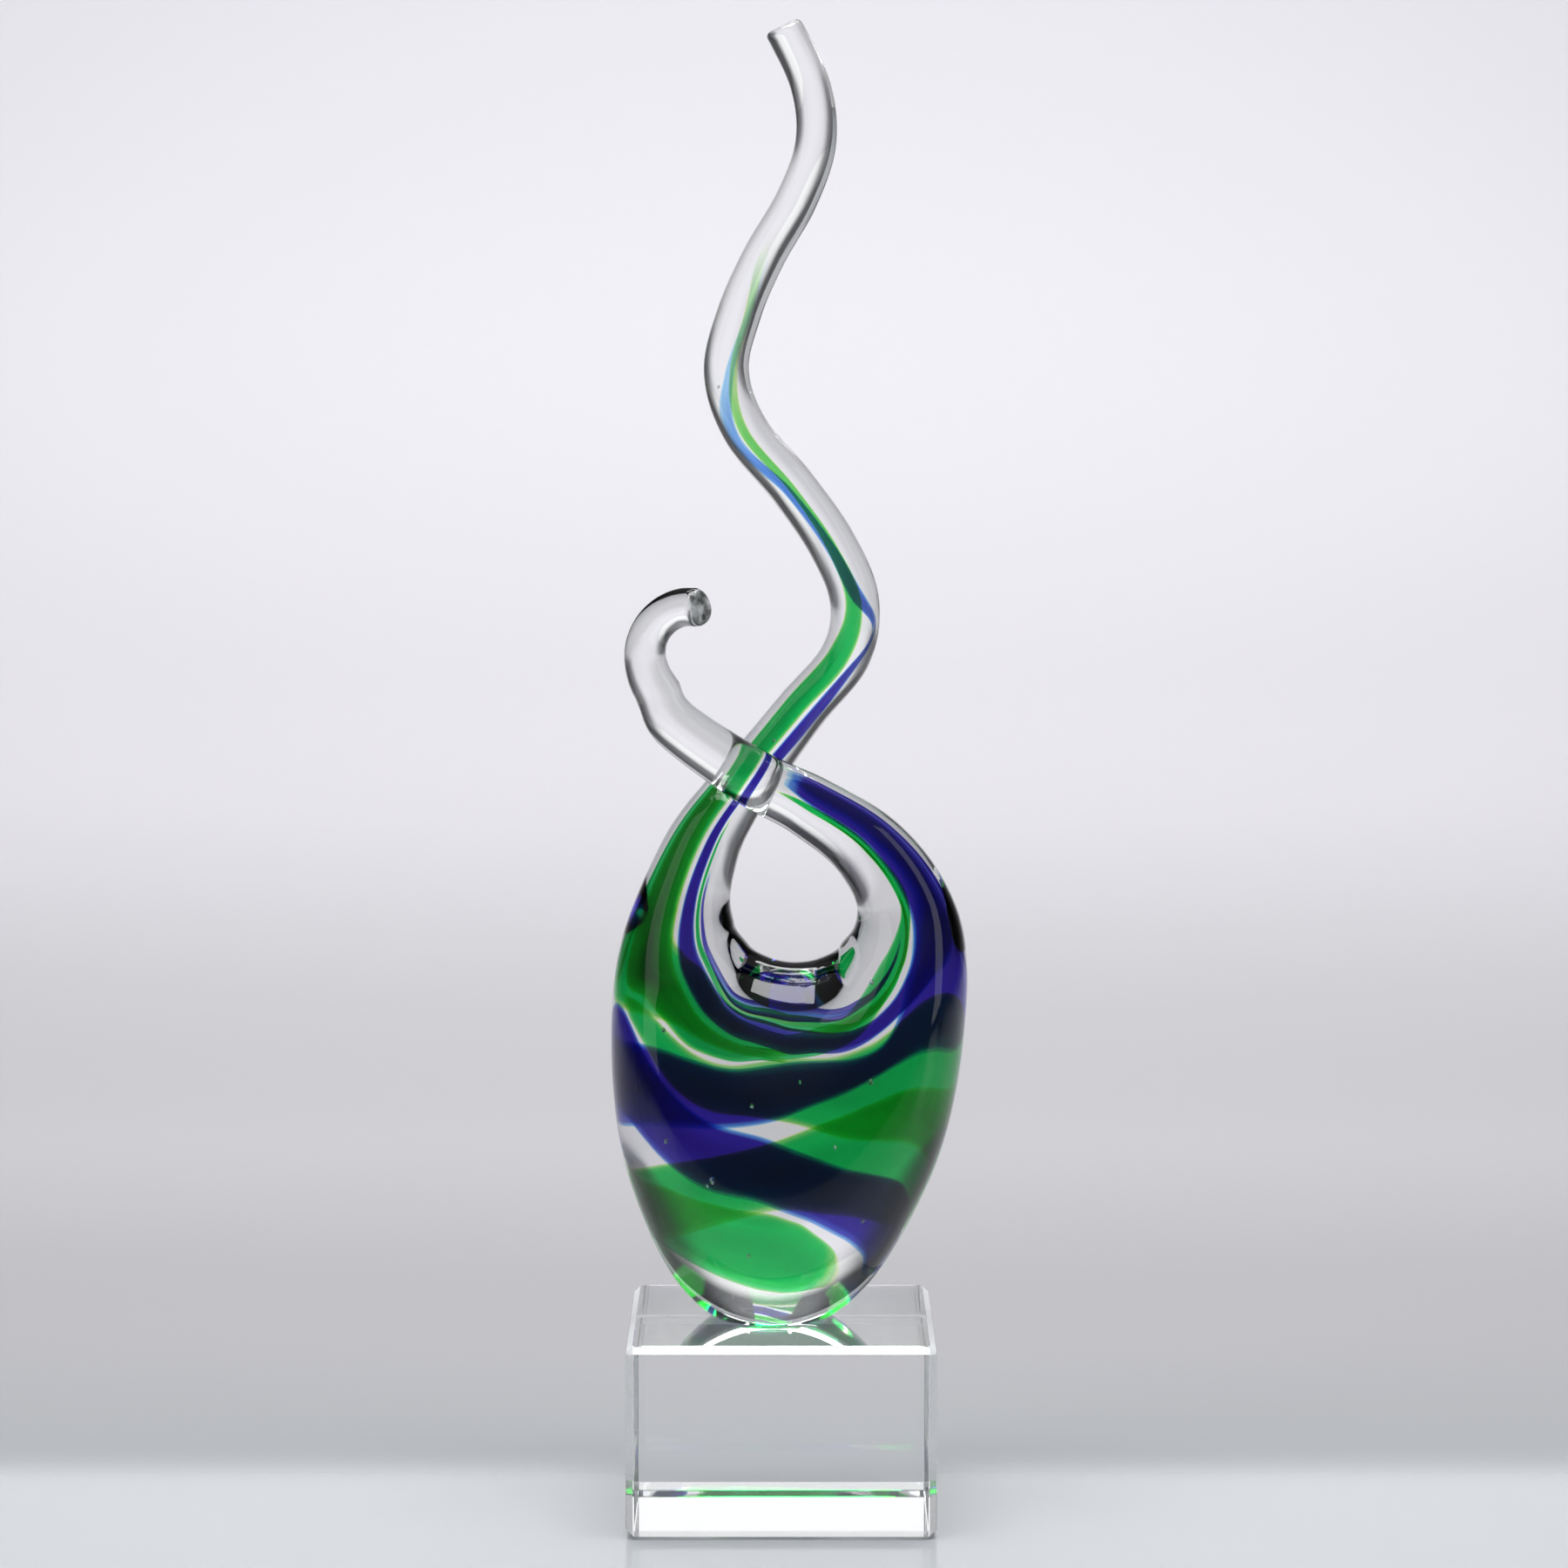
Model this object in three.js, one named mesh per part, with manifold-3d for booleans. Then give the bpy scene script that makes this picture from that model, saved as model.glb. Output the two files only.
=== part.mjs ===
// Art glass award: a hot-worked loop of cased glass, drawn out into a long corkscrew tendril and a short
// curl, with a green and a blue swirl inside, bonded by its ground foot to a bevelled crystal block.
// Millimetres, +Z up. The origin is the centre of the block's underside, and the front faces -Y.

import * as THREE from 'three';
import { mergeVertices } from 'three/addons/utils/BufferGeometryUtils.js';
import Module from 'manifold-3d';

// Crystal block
const BASE_WIDTH = 80;
const BASE_DEPTH = 80;
const BASE_HEIGHT = 50;
const BASE_BEVEL = 2;

// Adhesive film between the block and the ground foot
const BOND_THICKNESS = 0.4;

// Body: an oval, widest at BODY_LEVEL above the foot. BODY_DROP would close it below the foot, which is
// ground flat.
const BODY_WIDTH = 92.8;
const BODY_DEPTH = 58;
const BODY_LEVEL = 82.6;
const BODY_DROP = 88;
const BODY_RISE = 62;
const BODY_OFFSET = 2;
const BODY_LEAN = 0.055;

// Loop: the oval opening, centred at LOOP_LEVEL above the body's widest level
const LOOP_WIDTH = 33;
const LOOP_DROP = 14.1;
const LOOP_LEVEL = 25;
const LOOP_OFFSET = 3.3;
const LOOP_RIM_DEPTH = 27.2;
const RIM_PINCH = 0.22;
const SIDE_LEAN = 0.3;
const BODY_FULLNESS_POWER = 0.9;

// Crossing: the left strand passes behind the right one, and they fuse where they touch
const CROSSING_OFFSET = -7.4;
const CROSSING_RISE = 35.1;
const CROSSING_FUSE = 1.2;
const STRAND_DIAMETER = 15.2;
const STRAND_TAPER = 1.3;
const LEFT_BOW = 3;
const RIGHT_BOW = 8.4;

// Long tendril: a corkscrew that rises from the crossing, with turns that grow smaller towards the tip
const TENDRIL_RISE = 193;
const TENDRIL_START = 16;
const TENDRIL_DIAMETER = 13.4;
const TIP_DIAMETER = 10;
const WAVE_LENGTH = 127;
const WAVE_FIRST_SWING = 43;
const WAVE_LAG = 0.2;
const SWING = 19.3;
const SWING_LOSS = 0.082;
const SWING_DEPTH_SHARE = 0.42;
const TIP_BEND = 3.6;
const TIP_BEND_LENGTH = 20;
const TENDRIL_STATIONS = 13;

// Curl: a spiral that closes onto CURL_RADIUS about its own centre, and turns towards the front at its
// end
const CURL_RADIUS = 13.2;
const CURL_CENTRE_LEFT = 14.6;
const CURL_CENTRE_RISE = 32;
const CURL_CLOSE_ANGLE = 205;
const CURL_END_ANGLE = 84;
const CURL_FLARE_POWER = 2.25;
const CURL_PACE_POWER = 0.8;
const CURL_DIAMETER = 10;
const CURL_REACH = 12;
const CURL_STATIONS = 8;

// Layers of the glass. The colour layer lies at shares of the half width and half depth, deeper in the
// strands and the tendril than at the foot. Levels are counted from it: 1 is the outer face of the
// ribbons.
const LAYER_SHARE = 0.53;
const LAYER_FOOT_WIDE = 0.78;
const LAYER_FOOT_DEEP = 0.63;
const LAYER_SWELL_POWER = 4;
const RIBBON_LEVEL = 0.88;
const CORE_LEVEL = 1.07;
const GROOVE_LEVEL = 1.16;
const CLEARANCE = 0.3;
const GROOVE_FLOOR_GAP = 0.5;
const GROOVE_SIDE_GAP = 1.2;

// Neck: the stem by which the core was held on the iron, ground through at the foot
const NECK_DIAMETER = 13;

// Rounding of the sheared ends
const END_ROUND = 1.6;
const END_FACE_SHARE = 0.72;
const END_ROUND_RINGS = [0, 0.15, 0.5];

// Facets
const GLASS_SIDES = 20;
const CORE_SIDES = 14;
const GLASS_STEPS_PER_STATION = 2.5;
const CORE_STEPS_PER_STATION = 2.3;
const SPIRAL_ROWS_PER_TURN = 16;
const RIBBON_STEPS_PER_ROW = 1.4;
const NECK_SIDES = 20;

// Levels that follow from the sizes above
const FOOT_LEVEL = BASE_HEIGHT + BOND_THICKNESS;
const BODY_Z = FOOT_LEVEL + BODY_LEVEL;
const LOOP_Z = BODY_Z + LOOP_LEVEL;
const CROSSING_Z = LOOP_Z + CROSSING_RISE;
const TIP_Z = CROSSING_Z + TENDRIL_RISE;
const CROSSING_DEPTH = STRAND_DIAMETER / 2 - CROSSING_FUSE / 2;

// The glass is one path from the tip of the tendril, down and round the loop, to the end of the curl.
// Places on it are counted in stations: 0 is the tip, CROSS_REAR the crossing behind, LOOP_LEFT and
// LOOP_RIGHT the sides of the loop, BOTTOM its lowest point, CROSS_FRONT the crossing in front, and
// CURL_END the end of the curl.
const CROSS_REAR = TENDRIL_STATIONS;
const LOOP_LEFT = CROSS_REAR + 3;
const BOTTOM = LOOP_LEFT + 4;
const LOOP_RIGHT = BOTTOM + 4;
const CROSS_FRONT = LOOP_RIGHT + 3;
const CURL_END = CROSS_FRONT + CURL_STATIONS;
const BODY_STEP_ANGLE = 22.5;
const OUTER_TURN_RATIO = 1.28;
const STRAND_PLACES = [0.46, 0.78];

// The core's ends on the path, in stations
const CORE_START = 2.2;
const CORE_FINISH = CROSS_FRONT + 0.8;
const CORE_TAPER_STATIONS = 1;
const CORE_END_SHARE = 0.3;
const CORE_END_GAP = 0.05;

// Ribbons: how far a spiral spreads along the path for each degree round the section, and how much
// shorter a ribbon is than its groove at each end, as a share of its length
const SPIRAL_SPREAD = 0.0245;
const RIBBON_END_GAP = 0.002;

const { lerp, degToRad } = THREE.MathUtils;

const wasm = await Module();
wasm.setup();

function curveThrough(points) {
  return new THREE.CatmullRomCurve3(points, false, 'catmullrom', 0.5);
}

// A station of the path: its centre, its half width across the front view and its half depth. Its turn is
// the direction of its outer edge in the front view, and is left to the path where it is undefined.
function station(x, y, z, half, depth, turn) {
  return { centre: new THREE.Vector3(x, y, z), half, depth, turn };
}

// Corkscrew: x swings as a cosine of the height and y as its sine, with a swing that shrinks as it rises.
function tendrilStations() {
  const start = CROSSING_Z + TENDRIL_START;
  const firstSwing = CROSSING_Z + WAVE_FIRST_SWING;
  const bendStart = TIP_Z - TIP_BEND_LENGTH;
  return Array.from({ length: TENDRIL_STATIONS }, (_, k) => {
    const z = lerp(TIP_Z, start, k / (TENDRIL_STATIONS - 1));
    const phase = (2 * Math.PI * (z - firstSwing)) / WAVE_LENGTH;
    const lagged = phase - (phase > 0 ? WAVE_LAG * Math.sin(phase) ** 2 : 0);
    const swing = SWING - SWING_LOSS * (z - firstSwing);
    const bend = TIP_BEND * (Math.max(0, z - bendStart) / TIP_BEND_LENGTH) ** 2;
    const radius = lerp(TENDRIL_DIAMETER, TIP_DIAMETER, (z - start) / (TIP_Z - start)) / 2;
    const y = -SWING_DEPTH_SHARE * swing * Math.sin(lagged);
    return station(swing * Math.cos(lagged) - bend, y, z, radius, radius);
  });
}

// Body: each station joins a point of the loop's oval to a point of the body's oval. The outer points run
// ahead of the inner ones, so that the stations lie square to the strands at the sides. The sides already
// lean a little back and forward, towards the crossing.
function bodyStation(place) {
  const innerAngle = degToRad(270 + BODY_STEP_ANGLE * (place - BOTTOM));
  const outerAngle = degToRad(270 + OUTER_TURN_RATIO * BODY_STEP_ANGLE * (place - BOTTOM));
  const innerX = LOOP_OFFSET + (LOOP_WIDTH / 2) * Math.cos(innerAngle);
  const innerZ = LOOP_Z + LOOP_DROP * Math.sin(innerAngle);
  const outerRise = Math.sin(outerAngle) * (Math.sin(outerAngle) < 0 ? BODY_DROP : BODY_RISE);
  const outerX = BODY_OFFSET + BODY_LEAN * outerRise + (BODY_WIDTH / 2) * Math.cos(outerAngle);
  const outerZ = BODY_Z + outerRise;
  const fullness = Math.max(0, -Math.sin(innerAngle)) ** BODY_FULLNESS_POWER;
  const half = Math.hypot(outerX - innerX, outerZ - innerZ) / 2;
  const depth = lerp(LOOP_RIM_DEPTH, BODY_DEPTH, fullness) / 2;
  const y = -SIDE_LEAN * CROSSING_DEPTH * Math.cos(innerAngle);
  const turn = Math.atan2(outerZ - innerZ, outerX - innerX);
  return station((innerX + outerX) / 2, y, (innerZ + outerZ) / 2, half, depth, turn);
}

// Strand: from a side of the loop to the crossing, bowed outwards and thinning to the strand's diameter.
function strandStation(side, bow, sign, place) {
  const x = lerp(side.centre.x, CROSSING_OFFSET, place) + 4 * bow * place * (1 - place);
  const y = lerp(side.centre.y, sign * CROSSING_DEPTH, place);
  const z = lerp(side.centre.z, CROSSING_Z, place);
  const left = (1 - place) ** STRAND_TAPER;
  const half = lerp(STRAND_DIAMETER / 2, side.half, left);
  const depth = lerp(STRAND_DIAMETER / 2, side.depth, left);
  return station(x, y, z, half, depth);
}

function crossingStation(sign) {
  const radius = STRAND_DIAMETER / 2;
  return station(CROSSING_OFFSET, sign * CROSSING_DEPTH, CROSSING_Z, radius, radius);
}

// Curl: polar spiral about its centre, from the crossing to its end, flaring where it leaves the
// crossing.
function curlStations() {
  const centreX = CROSSING_OFFSET - CURL_CENTRE_LEFT;
  const centreZ = CROSSING_Z + CURL_CENTRE_RISE;
  const startAngle = 360 - THREE.MathUtils.radToDeg(Math.atan2(CURL_CENTRE_RISE, CURL_CENTRE_LEFT));
  const flare = Math.hypot(CURL_CENTRE_LEFT, CURL_CENTRE_RISE) - CURL_RADIUS;
  return Array.from({ length: CURL_STATIONS }, (_, k) => {
    const along = (k + 1) / CURL_STATIONS;
    const angle = lerp(startAngle, CURL_END_ANGLE, along ** CURL_PACE_POWER);
    const open = Math.max(0, angle - CURL_CLOSE_ANGLE) / (startAngle - CURL_CLOSE_ANGLE);
    const reach = CURL_RADIUS + flare * open ** CURL_FLARE_POWER;
    const x = centreX + reach * Math.cos(degToRad(angle));
    const z = centreZ + reach * Math.sin(degToRad(angle));
    const y = -CROSSING_DEPTH - CURL_REACH * along ** 3;
    const radius = lerp(CURL_DIAMETER, STRAND_DIAMETER, (1 - along) ** 3) / 2;
    return station(x, y, z, radius, radius);
  });
}

function pathStations() {
  const body = Array.from({ length: LOOP_RIGHT - LOOP_LEFT + 1 }, (_, k) => bodyStation(LOOP_LEFT + k));
  const left = body[0];
  const right = body[body.length - 1];
  const all = [
    ...tendrilStations(),
    crossingStation(1),
    ...STRAND_PLACES.toReversed().map((place) => strandStation(left, -LEFT_BOW, 1, place)),
    ...body,
    ...STRAND_PLACES.map((place) => strandStation(right, RIGHT_BOW, -1, place)),
    crossingStation(-1),
    ...curlStations(),
  ];
  // Away from the body a station's outer edge is square to the path, on the side that is outside at the
  // loop.
  let last = 0;
  all.forEach((here, k) => {
    const before = all[Math.max(0, k - 1)].centre;
    const after = all[Math.min(all.length - 1, k + 1)].centre;
    const square = Math.atan2(before.x - after.x, after.z - before.z);
    const turn = here.turn ?? square;
    here.turn = k === 0 ? turn : turn + 2 * Math.PI * Math.round((last - turn) / (2 * Math.PI));
    last = here.turn;
  });
  return all;
}

const stations = pathStations();
const spine = curveThrough(stations.map((s) => s.centre));
const profile = curveThrough(stations.map((s) => new THREE.Vector3(s.turn, s.half, s.depth)));

// The section at a place on the path: its centre, its half axes across and towards the front, and their
// lengths. Its swell runs from 0 at the sides of the loop, and beyond them, to 1 at the bottom of the
// body.
function sectionAt(place) {
  const along = THREE.MathUtils.clamp(place / CURL_END, 0, 1);
  const size = profile.getPoint(along);
  const across = new THREE.Vector3(Math.cos(size.x), 0, Math.sin(size.x));
  const front = new THREE.Vector3().crossVectors(across, spine.getTangent(along)).normalize();
  const swell = Math.max(0, Math.cos(degToRad(BODY_STEP_ANGLE * (place - BOTTOM))));
  return { centre: spine.getPoint(along), across, front, half: size.y, depth: size.z, swell };
}

// A point of a section: angle 0 is the outer edge, 90 degrees the front and 180 the loop's side. In the
// body the section is egg shaped, shallower on the loop's side than at the foot. The margin is added to
// both half axes.
function sectionPoint(section, angle, wideShare, deepShare, margin = 0) {
  const egg = 1 + RIM_PINCH * section.swell * Math.cos(angle);
  return section.centre.clone()
    .addScaledVector(section.across, (section.half * wideShare + margin) * Math.cos(angle))
    .addScaledVector(section.front, (section.depth * deepShare * egg + margin) * Math.sin(angle));
}

// A point at a level of the colour layer
function colourPoint(section, angle, level, margin = 0) {
  const swell = section.swell ** LAYER_SWELL_POWER;
  const wide = lerp(LAYER_SHARE, LAYER_FOOT_WIDE, swell) * level;
  const deep = lerp(LAYER_SHARE, LAYER_FOOT_DEEP, swell) * level;
  return sectionPoint(section, angle, wide, deep, margin);
}

// Closed solid through rings of points, with a fan over each end. The faces are turned to point outwards.
function solidThroughRings(rings) {
  const sides = rings[0].length;
  const points = rings.flat();
  const firstHub = points.length;
  for (const ring of [rings[0], rings[rings.length - 1]]) {
    const hub = new THREE.Vector3();
    ring.forEach((p) => hub.addScaledVector(p, 1 / sides));
    points.push(hub);
  }
  const faces = [];
  const lastRing = (rings.length - 1) * sides;
  for (let j = 0; j < sides; j += 1) {
    const next = (j + 1) % sides;
    faces.push(firstHub, j, next, firstHub + 1, lastRing + next, lastRing + j);
    for (let k = 0; k < lastRing; k += sides) {
      faces.push(k + j, k + sides + j, k + sides + next, k + j, k + sides + next, k + next);
    }
  }
  return toSolid(points, faces);
}

function toSolid(points, faces) {
  let volume = 0;
  for (let k = 0; k < faces.length; k += 3) {
    const [a, b, c] = [points[faces[k]], points[faces[k + 1]], points[faces[k + 2]]];
    volume += a.dot(new THREE.Vector3().crossVectors(b, c));
  }
  const vertProperties = new Float32Array(points.flatMap((p) => p.toArray()));
  const triVerts = new Uint32Array(volume > 0 ? faces : faces.toReversed());
  return new wasm.Manifold(new wasm.Mesh({ numProp: 3, vertProperties, triVerts }));
}

function solidOf(geometry) {
  const bare = geometry.clone();
  bare.deleteAttribute('normal');
  bare.deleteAttribute('uv');
  const merged = mergeVertices(bare, 1e-4);
  const vertProperties = new Float32Array(merged.attributes.position.array);
  const triVerts = new Uint32Array(merged.index.array);
  return new wasm.Manifold(new wasm.Mesh({ numProp: 3, vertProperties, triVerts }));
}

function geometryOf(solid) {
  const { vertProperties, triVerts } = solid.getMesh();
  const geometry = new THREE.BufferGeometry();
  geometry.setAttribute('position', new THREE.BufferAttribute(vertProperties, 3));
  geometry.setIndex(new THREE.BufferAttribute(triVerts, 1));
  geometry.computeVertexNormals();
  return geometry;
}

function slab(low, high) {
  const wide = 4 * BODY_WIDTH;
  const box = new THREE.BoxGeometry(wide, wide, high - low);
  return solidOf(box.translate(0, 0, (low + high) / 2));
}

// Sweep through the sections at places on the path, with a point for each of its sides.
function sweep(places, sides, pointAt) {
  const rings = places.map((place) => {
    const section = sectionAt(place);
    return Array.from({ length: sides }, (_, j) => pointAt(section, (2 * Math.PI * j) / sides, place));
  });
  return solidThroughRings(rings);
}

function evenPlaces(from, to, stepsPerStation) {
  const steps = Math.round((to - from) * stepsPerStation);
  return Array.from({ length: steps + 1 }, (_, k) => lerp(from, to, k / steps));
}

// Outer surface: two halves that share their section at the bottom, so that the strands fuse where they
// cross.
function outerGlass() {
  const tipStep = stations[0].centre.distanceTo(stations[1].centre);
  const endStep = stations[CURL_END].centre.distanceTo(stations[CURL_END - 1].centre);
  const tipEdge = END_ROUND / tipStep;
  const endEdge = END_ROUND / endStep;
  const rounded = (gap, edge) => {
    const inset = THREE.MathUtils.clamp(1 - gap / edge, 0, 1);
    return lerp(END_FACE_SHARE, 1, Math.sqrt(1 - inset ** 2));
  };
  const pointAt = (section, angle, place) => {
    const share = Math.min(rounded(place, tipEdge), rounded(CURL_END - place, endEdge));
    return sectionPoint(section, angle, share, share);
  };
  const tipRings = END_ROUND_RINGS.map((r) => r * tipEdge);
  const endRings = END_ROUND_RINGS.map((r) => CURL_END - r * endEdge).toReversed();
  const rear = [...tipRings, ...evenPlaces(tipEdge, BOTTOM, GLASS_STEPS_PER_STATION)];
  const front = [...evenPlaces(BOTTOM, CURL_END - endEdge, GLASS_STEPS_PER_STATION), ...endRings];
  return sweep(rear, GLASS_SIDES, pointAt).add(sweep(front, GLASS_SIDES, pointAt));
}

// Core: the first gather, from high in the tendril to just past the crossing in front.
function coreSweep(margin) {
  const pointAt = (section, angle, place) => {
    const inside = Math.min(place - CORE_START, CORE_FINISH - place) / CORE_TAPER_STATIONS;
    const taper = lerp(CORE_END_SHARE, 1, Math.sqrt(THREE.MathUtils.clamp(inside, 0, 1)));
    return colourPoint(section, angle, CORE_LEVEL * taper, margin);
  };
  const places = evenPlaces(CORE_START, CORE_FINISH, CORE_STEPS_PER_STATION);
  if (margin > 0) {
    places.unshift(CORE_START - CORE_END_GAP);
    places.push(CORE_FINISH + CORE_END_GAP);
  }
  return sweep(places, CORE_SIDES, pointAt).add(neck(margin));
}

// Neck: a short round stem from inside the core's lowest part down past the foot.
function neck(margin) {
  const low = sectionAt(BOTTOM);
  const top = colourPoint(low, 0, RIBBON_LEVEL);
  const bottom = FOOT_LEVEL - BOND_THICKNESS;
  const radius = NECK_DIAMETER / 2 + margin;
  const stem = new THREE.CylinderGeometry(radius, radius, top.z - bottom, NECK_SIDES);
  stem.rotateX(Math.PI / 2).translate(top.x, top.y, (top.z + bottom) / 2);
  return solidOf(stem);
}

// Ribbons of coloured glass, rolled into the core. A ribbon is a list of rows, from its top to its end. A
// row goes straight across it, from a station and angle on one edge to a station and angle on the other.
function levelRow([place, first, second]) {
  return [place, first, place, second];
}

// Rows of a spiral about the foot, from marks of [turn, lower edge, upper edge] in degrees. Turn 0 is the
// front, 90 the right edge, 180 the back and 270 the left edge. Seen from the foot, an edge at distance d
// lies d degrees round the section on the front, and SPIRAL_SPREAD times d stations along the path at the
// edges. A facing of -1 turns the spiral half round the body.
function spiralRows(marks, facing) {
  const curve = curveThrough(marks.map((mark) => new THREE.Vector3(...mark)));
  const turned = marks[marks.length - 1][0] - marks[0][0];
  const count = Math.round((turned / 360) * SPIRAL_ROWS_PER_TURN);
  return curve.getPoints(count).map((mark) => {
    const turn = degToRad(mark.x);
    const edge = (away) => [
      BOTTOM + facing * SPIRAL_SPREAD * away * Math.sin(turn),
      facing * away * Math.cos(turn),
    ];
    return [...edge(mark.y), ...edge(mark.z)];
  });
}

// The green swirl starts as a point at the left edge. It crosses the front, goes round the back and ends
// in front.
const GREEN_SWIRL = spiralRows([
  [-86, 124.5, 125.5], [-45, 109.5, 130], [0, 105.5, 131.5], [45, 92, 139.5], [90, 74, 124], [135, 62, 106],
  [180, 63, 88.5], [225, 53, 79], [270, 44, 68], [315, 34, 69.5], [360, 27, 68], [385, 27, 54], [412, 32, 36],
], 1);

// The blue swirl comes down the back of the right strand, and then follows the green one half a turn
// round.
const BLUE_SWIRL = [
  ...[[26.6, -30, -60], [26, -6, -82], [25, -3, -85], [24, -3, -87]].map(levelRow),
  [23.6, -3, 23.7, -89], [23.35, -12, 23.4, -91], [23.05, -48, 22.95, -92],
  ...spiralRows([
    [-45, 115, 128], [0, 95.5, 118.5], [45, 91, 119], [90, 88, 121], [135, 76, 107], [180, 71, 97],
    [225, 52, 80], [270, 34, 61], [300, 39, 44],
  ], -1),
];

// The green strand runs down the front of the tendril and the left strand, and thins out under the loop.
const GREEN_STRAND = [
  ...[
    [3.4, 82, 90], [4, 68, 100], [5, 102, 138], [6, 102, 138], [7, 60, 104], [8, 70, 102], [9, 62, 106],
    [10, 50, 118], [11, 8, 108], [12, 0, 102], [13, 3, 88], [14, 3, 84], [15, 3, 84], [16, 3, 85],
  ].map(levelRow),
  [16.5, 3, 16.4, 88], [16.85, 12, 16.7, 92], [17.04, 50.5, 16.95, 98.5], [17.36, 76.5, 17.25, 106.5],
  [17.75, 95, 17.6, 116], [18.2, 111.5, 18.05, 126.5], [18.7, 122.5, 18.6, 133], [19.4, 131.5, 19.35, 135.6],
  [20.1, 133, 20.1, 133.8],
];

// The blue loop twists round the back of the tendril, follows the inner side of the left strand, passes
// under the loop in front and covers the front of the right strand.
const BLUE_LOOP = [
  ...[
    [3.6, 272, 282], [4.2, 260, 288], [5, 243, 268], [6, 256, 282], [7, 294, 326], [8, 275, 300],
    [9, 266, 292], [10, 242, 276], [11, 120, 154], [12, 112, 172], [13, 96, 134], [14, 92, 116],
    [15, 91, 115], [16, 91.5, 117], [16.5, 95, 124], [17, 105, 136],
  ].map(levelRow),
  [17.5, 118, 17.55, 148], [18.1, 132, 18.2, 156], [18.9, 139, 19, 156], [19.5, 138.5, 19.5, 153],
  [20.1, 135.5, 20, 149.5], [20.8, 134.5, 20.7, 147], [21.4, 127.5, 21.3, 142.5], [22, 116, 21.9, 131.5],
  [22.4, 103, 22.35, 119], [22.75, 86, 22.8, 104], [23.14, 58, 23.3, 93], [23.42, 22, 23.75, 89],
  [23.65, 4, 24.1, 87.5], [24.3, 3, 24.6, 87],
  ...[[25.2, 3, 86], [26, 6, 84], [26.6, 30, 60]].map(levelRow),
];

// The green loop runs down the back of the left strand, under the loop behind, and up inside the right
// strand.
const GREEN_LOOP = [
  ...[[13.4, -20, -50], [14, -4, -80], [15, -3, -86], [16, -3, -88]].map(levelRow),
  [16.5, -3, 16.2, -90], [16.83, -12, 16.6, -93], [17.1, -50, 17, -106], [17.72, -89, 17.55, -124],
  [18.75, -115, 18.6, -136], [20, -121, 20, -132], [21.1, -118.5, 21, -135], [21.9, -109, 21.8, -130],
  [22.5, -100, 22.45, -121],
  ...[[23, -95, -110], [24, -91, -100], [25, -91, -102], [26, -93, -104], [26.6, -97, -99]].map(levelRow),
];

// Two threads lie side by side under the loop in front, inside the blue loop.
const GREEN_THREAD = [
  ...[[14.3, 120, 121.5], [15, 119, 124], [16, 120, 126], [16.5, 127, 133], [17, 139, 146]].map(levelRow),
  [17.5, 150.5, 17.55, 157], [18.2, 158.5, 18.25, 164], [19, 158.5, 19, 164.5], [19.5, 155.5, 19.5, 161.5],
  [20, 152, 20, 157.5], [21, 147.5, 21, 155.5], [22, 132.5, 21.95, 142],
  ...[[22.5, 118, 126], [23, 106, 112], [24, 93, 99.5], [25, 90, 97], [25.8, 92, 94]].map(levelRow),
];
const BLUE_THREAD = [
  [15.4, 129.5, 131], [16, 130, 133], [16.5, 138, 143], [17, 149.5, 155], [17.5, 160, 166],
  [18.2, 167, 173], [19, 167.5, 173.5], [20, 160.5, 166], [21, 158.5, 165], [22, 146, 153], [22.5, 131, 137],
  [23, 118.5, 122.5], [23.5, 111, 113],
].map(levelRow);

// Strip through a ribbon's rows, from the ribbon's inner level to an outer one. The side gap widens it,
// and the floor gap makes it deeper.
function ribbonSolid({ rows, across }, outerLevel, sideGap, floorGap) {
  const near = curveThrough(rows.map((row) => new THREE.Vector3(row[0], degToRad(row[1]))));
  const far = curveThrough(rows.map((row) => new THREE.Vector3(row[2], degToRad(row[3]))));
  const steps = Math.round((rows.length - 1) * RIBBON_STEPS_PER_ROW);
  const endGap = sideGap > 0 ? 0 : RIBBON_END_GAP;
  const rings = Array.from({ length: steps + 1 }, (_, k) => {
    const along = THREE.MathUtils.clamp(k / steps, endGap, 1 - endGap);
    const [from, to] = [near.getPoint(along), far.getPoint(along)];
    const pointAt = (share, level, margin = 0) => {
      const at = from.clone().lerp(to, share);
      return colourPoint(sectionAt(at.x), at.y, level, margin);
    };
    const middle = pointAt(0.5, 1);
    const grow = sideGap / (pointAt(0, 1).distanceTo(middle) + middle.distanceTo(pointAt(1, 1)));
    const shares = Array.from({ length: across }, (_, j) => lerp(-grow, 1 + grow, j / (across - 1)));
    return [
      ...shares.map((share) => pointAt(share, outerLevel, sideGap)),
      ...shares.toReversed().map((share) => pointAt(share, RIBBON_LEVEL, -floorGap)),
    ];
  });
  return solidThroughRings(rings);
}

const ribbons = [
  { name: 'green_swirl', rows: GREEN_SWIRL, across: 5 },
  { name: 'blue_swirl', rows: BLUE_SWIRL, across: 5 },
  { name: 'green_loop', rows: GREEN_LOOP, across: 4 },
  { name: 'blue_loop', rows: BLUE_LOOP, across: 3 },
  { name: 'green_strand', rows: GREEN_STRAND, across: 4 },
  { name: 'green_thread', rows: GREEN_THREAD, across: 2 },
  { name: 'blue_thread', rows: BLUE_THREAD, across: 2 },
];

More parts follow.
